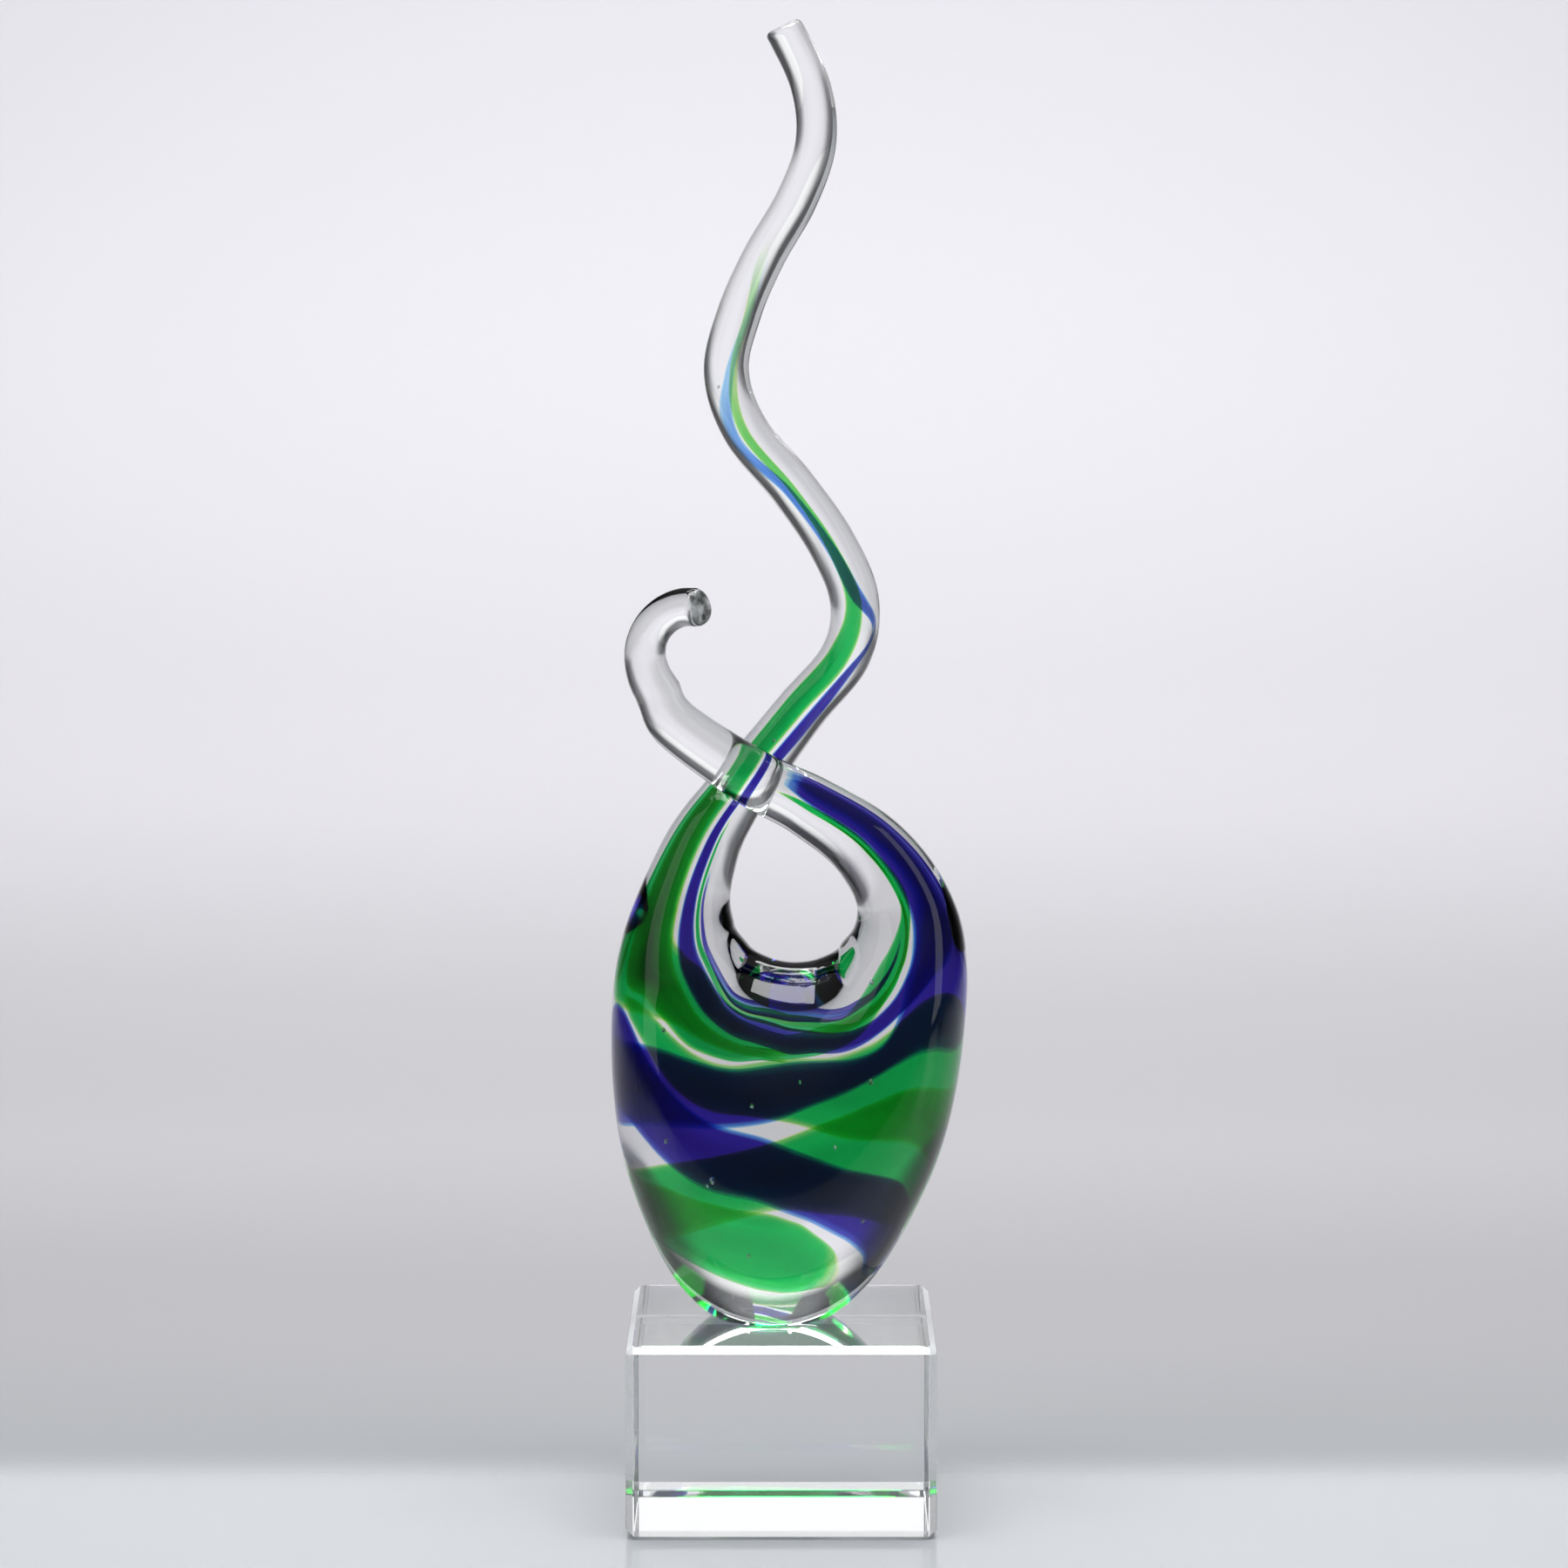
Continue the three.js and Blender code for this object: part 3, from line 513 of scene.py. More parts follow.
# The blue loop twists round the back of the tendril, follows the inner side of the left strand, passes
# under the loop in front and covers the front of the right strand
BLUE_LOOP = np.concatenate([
    level_rows([
        [3.6, 272, 282], [4.2, 260, 288], [5, 243, 268], [6, 256, 282], [7, 294, 326], [8, 275, 300],
        [9, 266, 292], [10, 242, 276], [11, 120, 154], [12, 112, 172], [13, 96, 134], [14, 92, 116],
        [15, 91, 115], [16, 91.5, 117], [16.5, 95, 124], [17, 105, 136],
    ]),
    [
        [17.5, 118, 17.55, 148], [18.1, 132, 18.2, 156], [18.9, 139, 19, 156], [19.5, 138.5, 19.5, 153],
        [20.1, 135.5, 20, 149.5], [20.8, 134.5, 20.7, 147], [21.4, 127.5, 21.3, 142.5],
        [22, 116, 21.9, 131.5], [22.4, 103, 22.35, 119], [22.75, 86, 22.8, 104], [23.14, 58, 23.3, 93],
        [23.42, 22, 23.75, 89], [23.65, 4, 24.1, 87.5], [24.3, 3, 24.6, 87],
    ],
    level_rows([[25.2, 3, 86], [26, 6, 84], [26.6, 30, 60]]),
])

# The green loop runs down the back of the left strand, under the loop behind and up inside the right strand
GREEN_LOOP = np.concatenate([
    level_rows([[13.4, -20, -50], [14, -4, -80], [15, -3, -86], [16, -3, -88]]),
    [
        [16.5, -3, 16.2, -90], [16.83, -12, 16.6, -93], [17.1, -50, 17, -106], [17.72, -89, 17.55, -124],
        [18.75, -115, 18.6, -136], [20, -121, 20, -132], [21.1, -118.5, 21, -135], [21.9, -109, 21.8, -130],
        [22.5, -100, 22.45, -121],
    ],
    level_rows([[23, -95, -110], [24, -91, -100], [25, -91, -102], [26, -93, -104], [26.6, -97, -99]]),
])

# Two threads lie side by side under the loop in front, inside the blue loop
GREEN_THREAD = np.concatenate([
    level_rows([[14.3, 120, 121.5], [15, 119, 124], [16, 120, 126], [16.5, 127, 133], [17, 139, 146]]),
    [
        [17.5, 150.5, 17.55, 157], [18.2, 158.5, 18.25, 164], [19, 158.5, 19, 164.5],
        [19.5, 155.5, 19.5, 161.5], [20, 152, 20, 157.5], [21, 147.5, 21, 155.5], [22, 132.5, 21.95, 142],
    ],
    level_rows([[22.5, 118, 126], [23, 106, 112], [24, 93, 99.5], [25, 90, 97], [25.8, 92, 94]]),
])
BLUE_THREAD = level_rows([
    [15.4, 129.5, 131], [16, 130, 133], [16.5, 138, 143], [17, 149.5, 155], [17.5, 160, 166],
    [18.2, 167, 173], [19, 167.5, 173.5], [20, 160.5, 166], [21, 158.5, 165], [22, 146, 153],
    [22.5, 131, 137], [23, 118.5, 122.5], [23.5, 111, 113],
])

RIBBON_STEPS_PER_ROW = 16
RIBBON_ACROSS = 25
RIBBON_SHARP_ANGLE = 80.0

# The colour of a ribbon comes in over these lengths from its ends, in centimetres: a short one, and a
# long one where it starts high in the tendril
END_FADE = 0.6
TENDRIL_FADE = 16.0
COME_IN_POWER = 1.2


def add_map(piece, title, values):
    """UV map from one pair of values a vertex."""
    corner = np.empty(len(piece.data.loops), dtype=np.int32)
    piece.data.loops.foreach_get("vertex_index", corner)
    piece.data.uv_layers.new(name=title).data.foreach_set("uv", values[corner].ravel())


def run(points, axis):
    """Distance from the start of lines of points, which run along an axis of the array, in centimetres."""
    steps = np.linalg.norm(np.diff(points, axis=axis), axis=-1)
    start = np.zeros_like(np.take(steps, [0], axis=axis))
    return np.concatenate([start, steps.cumsum(axis=axis)], axis=axis) / CM


def ribbon(name, rows, start_fade):
    """Thin closed strip in the colour layer, straight from edge to edge in station and angle.

    Its section is a lens: the inner and outer faces meet at its edges. UV map "flow" is the distance along
    it in centimetres and the share across it. UV map "depth" is the distance from the nearer edge in
    centimetres, and how far the colour has come in from the ends: from 0 to 1 over start_fade at the top
    and over END_FADE at the other end.
    """
    along = np.linspace(0, len(rows) - 1, (len(rows) - 1) * RIBBON_STEPS_PER_ROW + 1)
    edges = catmull(rows, along)
    across = 0.5 - 0.5 * np.cos(np.linspace(0, math.pi, RIBBON_ACROSS))
    place = mix(edges[:, 0:1], edges[:, 2:3], across)
    angle = np.radians(mix(edges[:, 1:2], edges[:, 3:4], across))
    bulge = RIBBON_THICKNESS_SHARE / 2 * np.sqrt(1 - (2 * across - 1) ** 2)
    middle = 1 - RIBBON_THICKNESS_SHARE / 2
    outer = colour_point(place, angle, middle + bulge)
    inner = colour_point(place, angle, middle - bulge)
    rings = np.concatenate([outer, inner[:, -2:0:-1]], axis=1)
    piece = outward_piece(name, rings)
    width = run(outer, axis=1)
    length = run(outer[:, RIBBON_ACROSS // 2], axis=0)
    to_edge = np.minimum(width, width[:, -1:] - width)
    from_start = (length / start_fade) ** COME_IN_POWER
    from_end = (length[-1] - length) / END_FADE
    come_in = np.minimum(from_start, from_end).clip(0, 1)
    come_in = np.broadcast_to(come_in[:, None], to_edge.shape)
    flow = np.stack(np.broadcast_arrays(length[:, None], across), axis=-1)
    depth = np.stack([to_edge, come_in], axis=-1)
    for title, grid in (("flow", flow), ("depth", depth)):
        ring = np.concatenate([grid, grid[:, -2:0:-1]], axis=1)
        hubs = ring[[0, -1]].mean(axis=1)
        add_map(piece, title, np.concatenate([ring.reshape(-1, 2), hubs]))
    smooth(piece, RIBBON_SHARP_ANGLE)
    return piece


# Crystal block and adhesive

def turned_outwards(vertices, faces):
    """Faces of a convex solid, each turned to point away from its centre."""
    corners = vertices[faces]
    facing = np.cross(corners[:, 1] - corners[:, 0], corners[:, 2] - corners[:, 0])
    away = corners.mean(axis=1) - vertices.mean(axis=0)
    outwards = np.sum(facing * away, axis=1) > 0
    return np.where(outwards[:, None], faces, faces[:, ::-1])


def crystal_block():
    """Block with a bevel on every edge: each corner of a box becomes three points, one on each face there.

    Point k of a corner is inset by the bevel along the two axes other than k. The faces are six sides, a
    bevel along each of the twelve edges, and eight corner triangles. A fine break finishes the edges.
    """
    half = np.array([BASE_WIDTH / 2, BASE_DEPTH / 2, BASE_HEIGHT / 2])
    inset = BASE_BEVEL * (1 - np.eye(3))
    points = (2.0 * BOX_CORNERS - 1.0)[:, None] * (half - inset)
    vertices = points.reshape(-1, 3) + np.array([0, 0, BASE_HEIGHT / 2])
    sides = 3 * BOX_FACES + BOX_FACE_AXES[:, None]
    axis, near = np.nonzero(BOX_CORNERS.T == 0)
    far = near + 2 ** axis
    first = np.where(axis == 0, 1, 0)
    second = np.where(axis == 2, 1, 2)
    bevels = np.stack([3 * near + first, 3 * far + first, 3 * far + second, 3 * near + second], axis=1)
    quads = turned_outwards(vertices, np.concatenate([sides, bevels]))
    triangles = turned_outwards(vertices, np.arange(len(vertices)).reshape(-1, 3))
    block = new_piece("crystal_block", vertices, quads, triangles)
    ease = block.modifiers.new("edge_break", "BEVEL")
    ease.width = BASE_EDGE_BREAK * MM
    ease.segments = EDGE_BREAK_SEGMENTS
    ease.limit_method = "ANGLE"
    ease.angle_limit = math.radians(EDGE_BREAK_FROM_ANGLE)
    return block


def adhesive_film():
    """Thin oval of adhesive under the foot, with a slight waist, just clear of the glass and the block."""
    angle = np.linspace(0, 2 * math.pi, BOND_SIDES, endpoint=False)
    box_low, box_high = (np.array(corner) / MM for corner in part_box("bond_film"))
    centre = (box_low + box_high) / 2
    half = (box_high - box_low) / 2 * BOND_RIM_SHARE
    share = np.array([1.0, BOND_WAIST_SHARE, 1.0])[:, None]
    level = np.array([BOND_GAP, BOND_THICKNESS / 2, BOND_THICKNESS - BOND_GAP])[:, None]
    x = centre[0] + half[0] * share * np.cos(angle)
    y = centre[1] + half[1] * share * np.sin(angle)
    z = np.broadcast_to(BASE_HEIGHT + level, x.shape)
    film = outward_piece("adhesive_film", np.stack([x, y, z], axis=-1))
    smooth(film)
    return film


# Finishes

class Wire:
    """A value in a shader: arithmetic on it adds Math nodes."""

    def __init__(self, finish, socket):
        self.finish = finish
        self.socket = socket

    def _math(self, operation, first, second):
        return self.finish.node("ShaderNodeMath", {"operation": operation}, {0: first, 1: second})

    def __add__(self, other):
        return self._math("ADD", self, other)

    def __radd__(self, other):
        return self._math("ADD", other, self)

    def __sub__(self, other):
        return self._math("SUBTRACT", self, other)

    def __rsub__(self, other):
        return self._math("SUBTRACT", other, self)

    def __mul__(self, other):
        return self._math("MULTIPLY", self, other)

    def __rmul__(self, other):
        return self._math("MULTIPLY", other, self)

    def __truediv__(self, other):
        return self._math("DIVIDE", self, other)

    def __rtruediv__(self, other):
        return self._math("DIVIDE", other, self)

    def __pow__(self, other):
        return self._math("POWER", self, other)

    def __rpow__(self, other):
        return self._math("POWER", other, self)

    def magnitude(self):
        """The value without its sign."""
        return self._math("ABSOLUTE", self, 0.0)

    def least(self, other):
        """The smaller of two values."""
        return self._math("MINIMUM", self, other)

    def most(self, other):
        """The larger of two values."""
        return self._math("MAXIMUM", self, other)

    def within(self):
        """The value kept from 0 to 1."""
        return self.most(0.0).least(1.0)


class Finish:
    """Node tree of a material or of the world."""

    def __init__(self, owner):
        self.owner = owner
        owner.use_nodes = True
        self.tree = owner.node_tree
        self.tree.nodes.clear()

    def node(self, kind, settings=None, inputs=None, output=0):
        """Adds a node: its settings first, then the values or links of its inputs.

        Returns one output, or a list of them where output is a tuple.
        """
        node = self.tree.nodes.new(kind)
        for name, value in (settings or {}).items():
            if name == "stops":
                self._stops(node.color_ramp, *value)
            else:
                setattr(node, name, value)
        for name, value in (inputs or {}).items():
            if isinstance(value, Wire):
                self.tree.links.new(value.socket, node.inputs[name])
            else:
                node.inputs[name].default_value = value
        if isinstance(output, tuple):
            return [Wire(self, node.outputs[k]) for k in output]
        return Wire(self, node.outputs[output]) if node.outputs else node

    @staticmethod
    def _stops(ramp, interpolation, stops):
        ramp.interpolation = interpolation
        while len(ramp.elements) < len(stops):
            ramp.elements.new(1.0)
        for element, (position, colour) in zip(ramp.elements, stops):
            element.position = position
            element.color = (*colour, 1.0)

    def ramp(self, value, stops, interpolation="EASE"):
        """Colour of a value from 0 to 1, by stops of position and colour."""
        return self.node("ShaderNodeValToRGB", {"stops": (interpolation, stops)}, {0: value})

    def parts(self, vector):
        """The three parts of a vector."""
        return self.node("ShaderNodeSeparateXYZ", None, {0: vector}, output=(0, 1, 2))

    def distance(self, place, centre):
        """Distance from a point to a fixed one."""
        return self.node("ShaderNodeVectorMath", {"operation": "DISTANCE"}, {0: place, 1: centre}, output=1)

    def blend(self, share, first, second, how="MIX"):
        """Mix of two colours."""
        settings = {"data_type": "RGBA", "blend_type": how}
        return self.node("ShaderNodeMix", settings, {0: share, 6: first, 7: second}, output=2)

    def noise(self, vector, scale, detail):
        """Soft noise, about NOISE_MIDDLE."""
        return self.node("ShaderNodeTexNoise", None, {"Vector": vector, "Scale": scale, "Detail": detail})

    def layered(self, share, under, over):
        """Mix of two shaders: over where share is 1."""
        return self.node("ShaderNodeMixShader", None, {0: share, 1: under, 2: over})

    def surface(self, shader):
        """Ends a material's tree. Returns the material."""
        self.node("ShaderNodeOutputMaterial", None, {"Surface": shader})
        return self.owner


def flat_colour(red, green, blue):
    """Opaque colour."""
    return (red, green, blue, 1.0)


# Indices of refraction. A piece inside the glass shares its index, and bends no light: it is given STRAIGHT
GLASS_IOR = 1.5
CRYSTAL_IOR = 1.52
STRAIGHT = 1.0
NOISE_MIDDLE = 0.5

# Haze: the noise above which a surface is rough, and how rough it gets for each unit above that
GLASS_HAZE_FROM = 0.55
GLASS_HAZE = 0.05
CRYSTAL_RUB_FROM = 0.6
CRYSTAL_RUB = 0.04

# Scars on the end faces: how far they reach from the middle of the face, how fast they come in, their
# roughness, how deep their pits are beside the glass's own waves, and their cloud, which takes this much of
# the noise above a level
SCAR_REACH = 4.8
SCAR_SHARPNESS = 4.0
SCAR_ROUGHNESS = 0.4
SCAR_PITS = 6.0
SCAR_CLOUD_FROM = 0.3
SCAR_CLOUD = 2.2


def clear_glass_finish():
    """Fire-polished clear glass: faint drawn waves, a little haze, and cloudy scars on both end faces."""
    finish = Finish(bpy.data.materials.new("fire_polished_clear_glass"))
    place = finish.node("ShaderNodeTexCoord", output="Object")
    drawn = finish.node("ShaderNodeMapping", None, {"Vector": place, "Scale": (1.0, 1.0, 0.35)})
    wave = finish.noise(drawn, scale=42.0, detail=2.0)
    haze = finish.noise(place, scale=60.0, detail=4.0)
    pits = finish.noise(place, scale=420.0, detail=2.0)
    tip, end = (finish.distance(place, centre) for centre in STATIONS[[0, CURL_END], :3] * MM)
    scarred = ((1.0 - tip.least(end) / (SCAR_REACH * MM)) * SCAR_SHARPNESS).within()
    bump = finish.node("ShaderNodeBump", None, {
        "Height": wave + pits * scarred * SCAR_PITS,
        "Strength": 0.12,
        "Distance": 0.0006,
    })
    shader = finish.node("ShaderNodeBsdfPrincipled", None, {
        "Base Color": flat_colour(0.985, 0.995, 0.992),
        "Roughness": (haze - GLASS_HAZE_FROM).most(0.0) * GLASS_HAZE + scarred * SCAR_ROUGHNESS,
        "IOR": GLASS_IOR,
        "Transmission Weight": 1.0,
        "Normal": bump,
    })
    chilled = finish.node("ShaderNodeBsdfPrincipled", None, {
        "Base Color": finish.ramp(pits, [(0.35, (0.30, 0.33, 0.33)), (0.65, (0.88, 0.90, 0.90))]),
        "Roughness": 0.3,
        "Normal": bump,
    })
    cloudy = scarred * (pits - SCAR_CLOUD_FROM).most(0.0)
    return finish.surface(finish.layered(cloudy * SCAR_CLOUD, shader, chilled))


# A ribbon's edges are pale for this many centimetres, or for this share of its width where that is less
EDGE_FADE = 0.19
EDGE_FADE_SHARE = 0.16
# The edge brings in this share of the colour's depth, and the rest comes in over this many centimetres
EDGE_DEPTH_SHARE = 0.5
MIDDLE_FADE = 0.9
# Streaks along a ribbon: how much they deepen or lighten it, and how they fade at its edges
STREAK = 0.3
STREAK_EDGE_POWER = 0.5


def ribbon_finish(name, stops, density):
    """Coloured glass in the colour layer: pale at its edges and ends, deep in the middle, and streaked.

    It has the same index as the clear glass around it, so only its colour shows.
    """
    finish = Finish(bpy.data.materials.new(name))
    flow = finish.node("ShaderNodeUVMap", {"uv_map": "flow"})
    to_edge, come_in, _ = finish.parts(finish.node("ShaderNodeUVMap", {"uv_map": "depth"}))
    stretched = finish.node("ShaderNodeMapping", None, {"Vector": flow, "Scale": (0.22, 7.0, 1.0)})
    lines = finish.noise(stretched, scale=1.6, detail=3.0)
    _, across, _ = finish.parts(flow)
    share = across.least(1.0 - across)
    rim = (to_edge / EDGE_FADE).most(share / EDGE_FADE_SHARE).least(1.0)
    inside = rim * EDGE_DEPTH_SHARE + (to_edge / MIDDLE_FADE).least(1.0) * (1.0 - EDGE_DEPTH_SHARE)
    streaks = (lines - NOISE_MIDDLE) * STREAK * rim ** STREAK_EDGE_POWER
    depth = (inside + streaks) * come_in * density
    shader = finish.node("ShaderNodeBsdfPrincipled", None, {
        "Base Color": finish.ramp(depth.within(), stops),
        "Roughness": 0.0,
        "IOR": STRAIGHT,
        "Transmission Weight": 1.0,
        "Specular IOR Level": 0.0,
    })
    return finish.surface(shader)


# Ground bevels: the width over which they come in, and their whiteness at the bottom and top of the block.
# The whiter top is painted light, as if lit from above
BEVEL_SOFTNESS = 0.3
BEVEL_WHITENESS_LOW = 0.2
BEVEL_WHITENESS_HIGH = 0.75


def crystal_finish():
    """Polished optical crystal with faint fine scratches. Its bevels are ground, and painted whiter higher
    up as if lit from above.

    A point is on a bevel where it lies past the edge of a flat face in two of the three directions.
    """
    finish = Finish(bpy.data.materials.new("polished_crystal"))
    place = finish.node("ShaderNodeTexCoord", output="Object")
    x, y, z = finish.parts(place)
    past_x = x.magnitude() - (BASE_WIDTH / 2 - BASE_BEVEL) * MM
    past_y = y.magnitude() - (BASE_DEPTH / 2 - BASE_BEVEL) * MM
    past_z = (z - BASE_HEIGHT / 2 * MM).magnitude() - (BASE_HEIGHT / 2 - BASE_BEVEL) * MM
    second = past_x.least(past_y).most(past_x.most(past_y).least(past_z))
    ground = (second / (BEVEL_SOFTNESS * MM)).within()
    rub = finish.noise(place, scale=90.0, detail=5.0)
    grain = finish.noise(place, scale=1500.0, detail=2.0)
    polished = finish.node("ShaderNodeBsdfPrincipled", None, {
        "Base Color": flat_colour(0.99, 0.995, 0.995),
        "Roughness": (rub - CRYSTAL_RUB_FROM).most(0.0) * CRYSTAL_RUB,
        "IOR": CRYSTAL_IOR,
        "Transmission Weight": 1.0,
    })
    satin = finish.node("ShaderNodeBsdfPrincipled", None, {
        "Base Color": finish.ramp(grain, [(0.3, (0.86, 0.89, 0.90)), (0.7, (0.97, 0.98, 0.98))]),
        "Roughness": 0.4,
    })
    # The ground bevels are real. Their whiteness rising with height is painted light from above
    height = z / (BASE_HEIGHT * MM)
    bevel_white_with_painted_top_light = height * (BEVEL_WHITENESS_HIGH - BEVEL_WHITENESS_LOW) + BEVEL_WHITENESS_LOW
    return finish.surface(finish.layered(ground * bevel_white_with_painted_top_light, polished, satin))


def adhesive_finish():
    """Clear cured adhesive with a slight cloud in it."""
    finish = Finish(bpy.data.materials.new("clear_adhesive"))
    place = finish.node("ShaderNodeTexCoord", output="Object")
    cloud = finish.noise(place, scale=240.0, detail=3.0)
    shader = finish.node("ShaderNodeBsdfPrincipled", None, {
        "Base Color": finish.ramp(cloud, [(0.3, (0.93, 0.95, 0.95)), (0.7, (0.98, 0.99, 0.99))]),
        "Roughness": 0.05,
        "IOR": STRAIGHT,
        "Transmission Weight": 1.0,
        "Specular IOR Level": 0.0,
    })
    return finish.surface(shader)


# Pieces of the award

glass = clear_glass()
glass.data.materials.append(clear_glass_finish())
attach(glass, "root")
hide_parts("clear_casing", "clear_core")

GREEN_STOPS = [
    (0.0, (1.0, 1.0, 1.0)), (0.06, (0.78, 0.95, 0.45)), (0.2, (0.18, 0.68, 0.16)),
    (0.48, (0.008, 0.54, 0.105)), (0.7, (0.004, 0.41, 0.078)), (1.0, (0.001, 0.13, 0.022)),
]
BLUE_STOPS = [
    (0.0, (1.0, 1.0, 1.0)), (0.06, (0.45, 0.76, 0.97)), (0.2, (0.10, 0.27, 0.76)),
    (0.48, (0.037, 0.020, 0.36)), (0.75, (0.026, 0.012, 0.26)), (1.0, (0.014, 0.006, 0.16)),
]

# Ribbons: node, rows, colour stops, slot, the length over which the colour comes in at the top, and its
# density, which is 1 where the ribbon's middle has the last stop's colour
RIBBONS = [
    ("green_swirl", GREEN_SWIRL, GREEN_STOPS, "green_glass", END_FADE, 0.7),
    ("blue_swirl", BLUE_SWIRL, BLUE_STOPS, "blue_glass", END_FADE, 0.85),
    ("blue_loop", BLUE_LOOP, BLUE_STOPS, "blue_glass", TENDRIL_FADE, 1.0),
    ("green_loop", GREEN_LOOP, GREEN_STOPS, "green_glass", END_FADE, 0.9),
    ("green_strand", GREEN_STRAND, GREEN_STOPS, "green_glass", TENDRIL_FADE, 1.1),
    ("green_thread", GREEN_THREAD, GREEN_STOPS, "green_glass", END_FADE, 1.0),
    ("blue_thread", BLUE_THREAD, BLUE_STOPS, "blue_glass", END_FADE, 1.0),
]
for node, rows, stops, slot, start_fade, density in RIBBONS:
    strip = ribbon(node + "_ribbon", rows, start_fade)
    strip.data.materials.append(ribbon_finish(node + "_colour", stops, density))
    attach(strip, "root")
    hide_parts(node)

block = crystal_block()
block.data.materials.append(crystal_finish())
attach(block, "root")
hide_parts("crystal_base")

film = adhesive_film()
film.data.materials.append(adhesive_finish())
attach(film, "root")
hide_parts("bond_film")


# Studio

FLOOR_HALF_WIDTH = 5000.0
FLOOR_FRONT = 700.0
FLOOR_GAP = 0.3
SWEEP_START = 1500.0
SWEEP_RADIUS = 700.0
SWEEP_HEIGHT = 2200.0
SWEEP_STEPS = 24

# Painted light and shade on the card: where its tones start and the length over which they run from front
# to back, the height above the picture from which a painted white band of light starts and how fast it
# comes in, and how far the painted shade at the sides takes to come in
SHADE_START = -600.0
SHADE_LENGTH = 3000.0
PAINTED_BAND_FROM = 500.0
PAINTED_BAND_OVER = 50.0
PAINTED_SIDE_SHADE_REACH = 2600.0

# The card turns from satin to matt this far behind the block's middle, over this length
MATT_FROM = 20.0
MATT_OVER = 50.0

BLACK = (0.0, 0.0, 0.0)
WHITE = (1.0, 1.0, 1.0)
# Card tones: painted light and shade from front to back, then painted shade at the sides and high up
PAINTED_LIGHT_AND_SHADE_STOPS = [
    (0.0, (0.25, 0.26, 0.27)), (0.10, (0.28, 0.29, 0.30)), (0.16, (0.42, 0.44, 0.46)),
    (0.205, (0.42, 0.44, 0.46)), (0.219, (0.30, 0.31, 0.325)), (0.28, (0.335, 0.33, 0.35)),
    (0.39, (0.42, 0.415, 0.435)), (0.79, (0.69, 0.68, 0.715)), (0.9, (0.78, 0.77, 0.81)),
]
PAINTED_SIDE_SHADE_STOPS = [(0.0, WHITE), (0.25, WHITE), (0.55, (0.32, 0.32, 0.33)), (1.0, (0.12, 0.12, 0.125))]
PAINTED_HIGH_SHADE_STOPS = [(0.0, WHITE), (0.33, WHITE), (0.48, (0.16, 0.16, 0.17))]
SATIN_TO_MATT = [(0.0, (0.2, 0.2, 0.2)), (1.0, (0.75, 0.75, 0.75))]


def studio_sweep():
    """Floor that curves up into a backdrop: a straight, a quarter circle and a straight, carried along x."""
    bend = np.linspace(0, math.pi / 2, SWEEP_STEPS)
    back = SWEEP_START + SWEEP_RADIUS
    y = np.concatenate([[-FLOOR_FRONT], SWEEP_START + SWEEP_RADIUS * np.sin(bend), [back]])
    z = np.concatenate([[0.0], SWEEP_RADIUS * (1 - np.cos(bend)), [SWEEP_HEIGHT]]) - FLOOR_GAP
    x = np.array([-FLOOR_HALF_WIDTH, FLOOR_HALF_WIDTH])
    vertices = np.stack([np.tile(x, len(y)), np.repeat(y, 2), np.repeat(z, 2)], axis=1)
    k = 2 * np.arange(len(y) - 1)
    quads = np.stack([k, k + 1, k + 3, k + 2], axis=1)
    sweep = new_piece("studio_sweep", vertices, quads, NO_TRIANGLES)
    smooth(sweep)
    return sweep


def sweep_finish():
    """Pale card, satin in front and matt behind.

    Its tones are painted light and shade: it is paler round the award than in front of it and just behind
    it, and gets paler again up the backdrop. Above the picture a painted white band stands in for light,
    then painted shade dims it higher up and at both sides, so that the glass has dark edges.
    """
    finish = Finish(bpy.data.materials.new("pale_studio_card"))
    side, back, up = finish.parts(finish.node("ShaderNodeTexCoord", output="Object"))
    # Painted light and shade: tones from front to back, a white band, and dim sides and top
    shade = finish.ramp((back - SHADE_START * MM) / (SHADE_LENGTH * MM), PAINTED_LIGHT_AND_SHADE_STOPS)
    painted_white_band = finish.ramp((up - PAINTED_BAND_FROM * MM) / (PAINTED_BAND_OVER * MM), [(0.0, BLACK), (1.0, WHITE)])
    shade = finish.blend(painted_white_band, shade, flat_colour(*WHITE))
    fade = finish.ramp(side.magnitude() / (PAINTED_SIDE_SHADE_REACH * MM), PAINTED_SIDE_SHADE_STOPS)
    painted_high_shade = finish.ramp(up / (SWEEP_HEIGHT * MM), PAINTED_HIGH_SHADE_STOPS)
    colour = finish.blend(1.0, finish.blend(1.0, shade, fade, "MULTIPLY"), painted_high_shade, "MULTIPLY")
    gloss = finish.ramp((back - MATT_FROM * MM) / (MATT_OVER * MM), SATIN_TO_MATT)
    shader = finish.node("ShaderNodeBsdfPrincipled", None, {"Base Color": colour, "Roughness": gloss})
    return finish.surface(shader)


sweep = studio_sweep()
sweep.data.materials.append(sweep_finish())

# Soft boxes: name, place and aim in metres, width and height in metres, power in watts
SOFT_BOXES = [
    ("overhead_box", (0.0, -0.15, 1.6), (0.0, 0.0, 0.0), 1.5, 0.9, 33.0),
    ("backdrop_box", (0.0, 1.2, 2.1), (0.0, 2.0, 0.6), 2.2, 0.6, 30.0),
    ("left_box", (-1.5, -0.9, 0.9), (0.0, 0.0, 0.2), 0.9, 1.6, 3.2),
    ("right_box", (1.6, -0.5, 0.8), (0.0, 0.0, 0.2), 0.5, 1.6, 2.4),
]


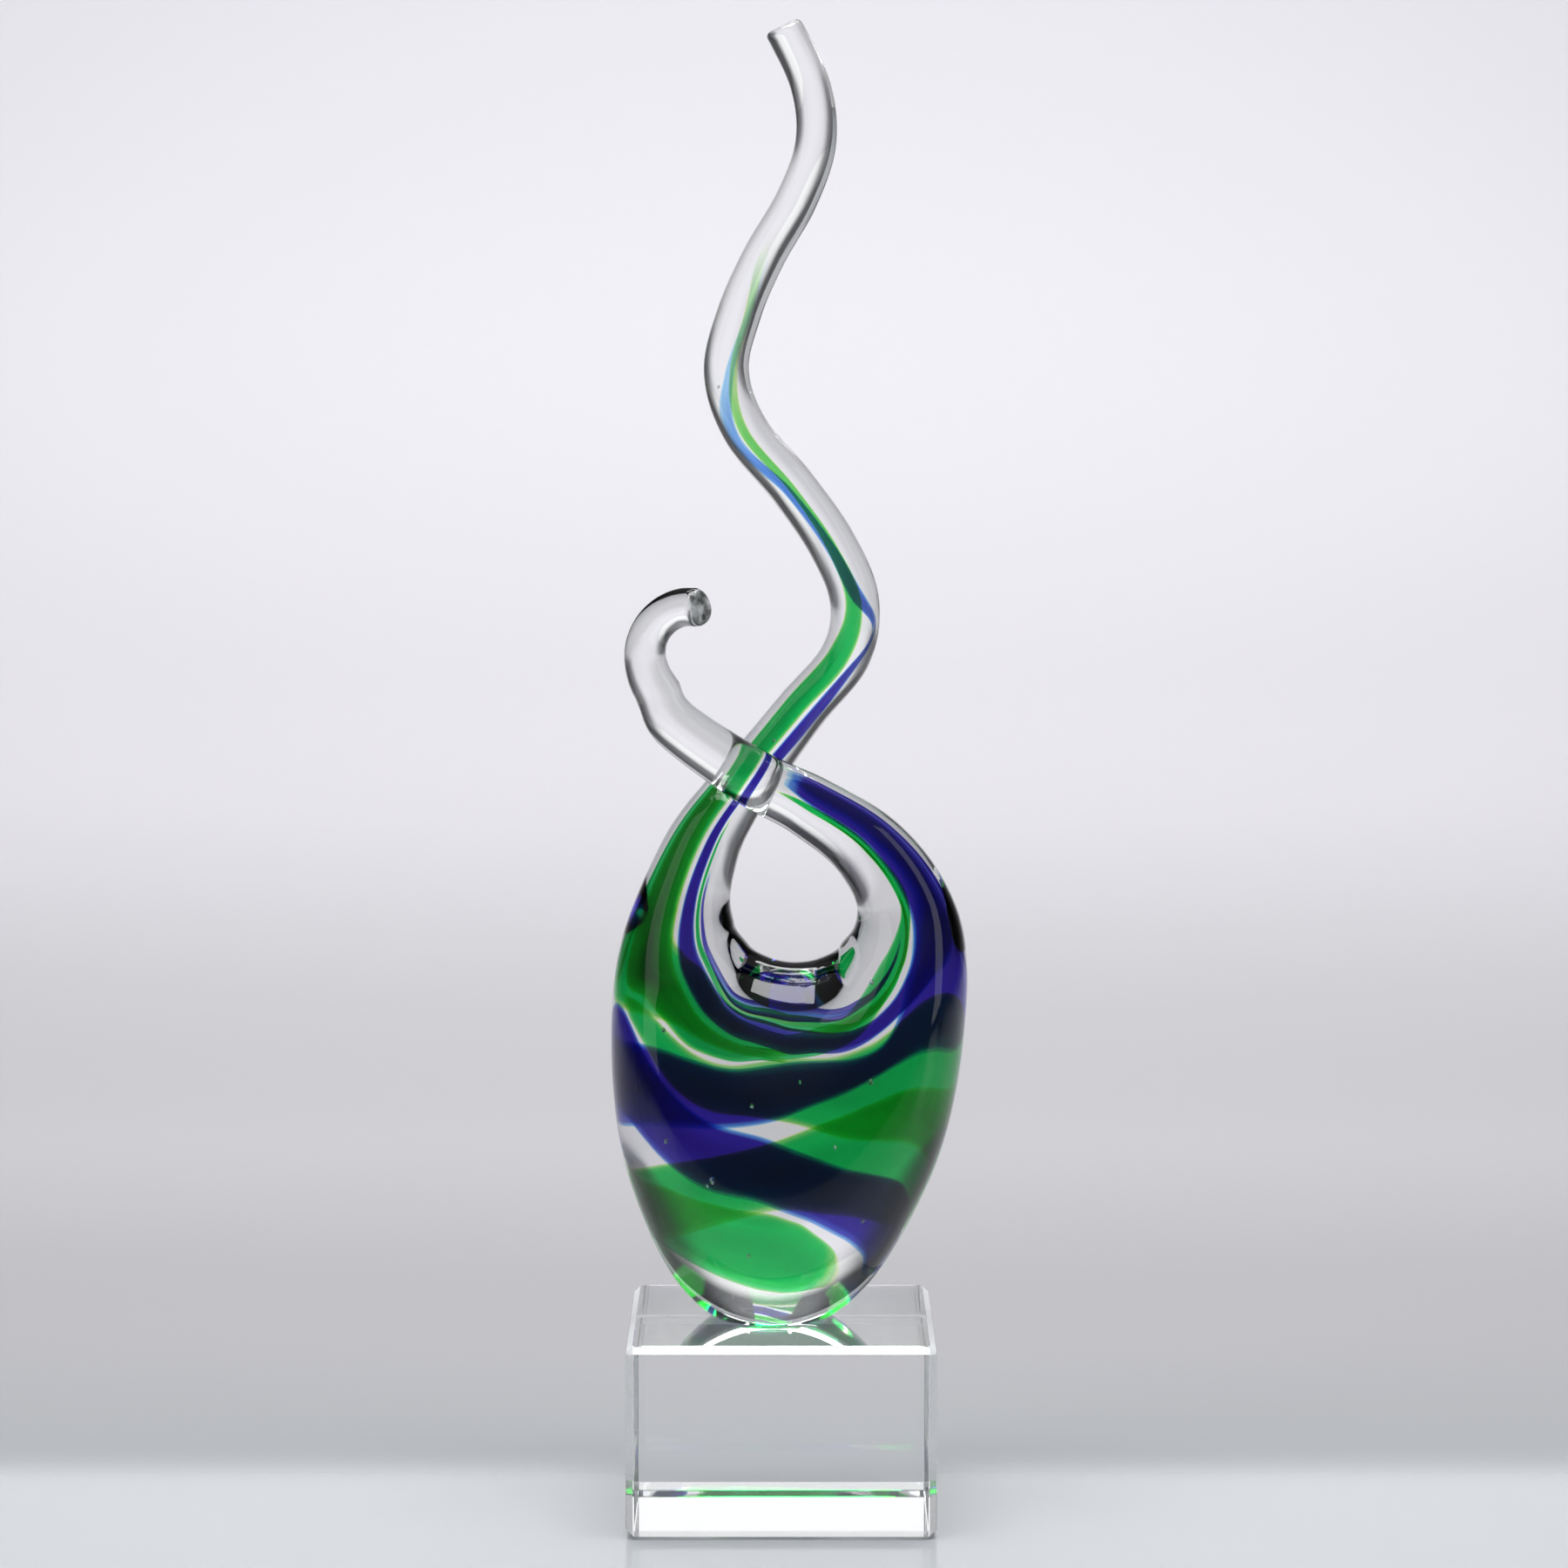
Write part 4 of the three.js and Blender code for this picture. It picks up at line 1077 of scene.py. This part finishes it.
def soft_box(name, place, aim, width, height, power):
    """Rectangular lamp that faces a point."""
    lamp = bpy.data.lights.new(name, "AREA")
    lamp.shape = "RECTANGLE"
    lamp.size = width
    lamp.size_y = height
    lamp.energy = power
    box = bpy.data.objects.new(name, lamp)
    box.location = place
    away = np.array(aim) - np.array(place)
    pitch = math.acos(-away[2] / np.linalg.norm(away))
    turn = math.atan2(away[1], away[0]) - math.pi / 2
    box.rotation_euler = (pitch, 0.0, turn)
    bpy.context.scene.collection.objects.link(box)


for row in SOFT_BOXES:
    soft_box(*row)

# Room: its own light, from straight down at 0 to straight up at 1, and the pale grey that the camera sees
# instead, with the shares of it that show through glass and in reflections
ROOM_STOPS = [
    (0.0, (0.10, 0.10, 0.11)), (0.5, (0.05, 0.05, 0.055)), (0.66, (0.06, 0.06, 0.065)),
    (0.8, (0.16, 0.16, 0.17)), (1.0, (0.32, 0.32, 0.33)),
]
PALE_ROOM = (0.72, 0.72, 0.75)
THROUGH_SHARE = 0.6
REFLECTED_SHARE = 0.03


def studio_world():
    """Dim room round the lit card, so that the glass has dark edges. The camera sees a pale grey room."""
    world = bpy.data.worlds.new("studio_room")
    bpy.context.scene.world = world
    finish = Finish(world)
    _, _, up = finish.parts(finish.node("ShaderNodeTexCoord", output="Generated"))
    shade = finish.ramp(up * 0.5 + 0.5, ROOM_STOPS)
    camera, glossy, through = finish.node("ShaderNodeLightPath", output=(
        "Is Camera Ray", "Is Glossy Ray", "Is Transmission Ray"))
    seen = camera.most(through * THROUGH_SHARE).most(glossy * REFLECTED_SHARE)
    colour = finish.blend(seen, shade, flat_colour(*PALE_ROOM))
    light = finish.node("ShaderNodeBackground", None, {"Color": colour, "Strength": 1.0})
    finish.node("ShaderNodeOutputWorld", None, {"Surface": light})


studio_world()

# Camera of the photograph: its place, its tilt below level in degrees, and its lens and sensor
CAMERA_PLACE = np.array([0.7, -1300.0, 331.0])
CAMERA_TILT = 6.16
CAMERA_LENS = 115.2
CAMERA_SENSOR = 36.0


def photo_camera():
    """Camera in front of the award and a little above it, which looks slightly down."""
    lens = bpy.data.cameras.new("photo_camera")
    lens.sensor_width = CAMERA_SENSOR
    lens.lens = CAMERA_LENS
    camera = bpy.data.objects.new("photo_camera", lens)
    camera.location = CAMERA_PLACE * MM
    camera.rotation_euler = (math.radians(90 - CAMERA_TILT), 0.0, 0.0)
    bpy.context.scene.collection.objects.link(camera)
    bpy.context.scene.camera = camera


photo_camera()

# Light passes many faces of glass on its way
GLASS_BOUNCES = 32
CLEAR_BOUNCES = 16

scene = bpy.context.scene
scene.view_settings.view_transform = "Standard"
scene.cycles.max_bounces = GLASS_BOUNCES
scene.cycles.transmission_bounces = GLASS_BOUNCES
scene.cycles.transparent_max_bounces = CLEAR_BOUNCES
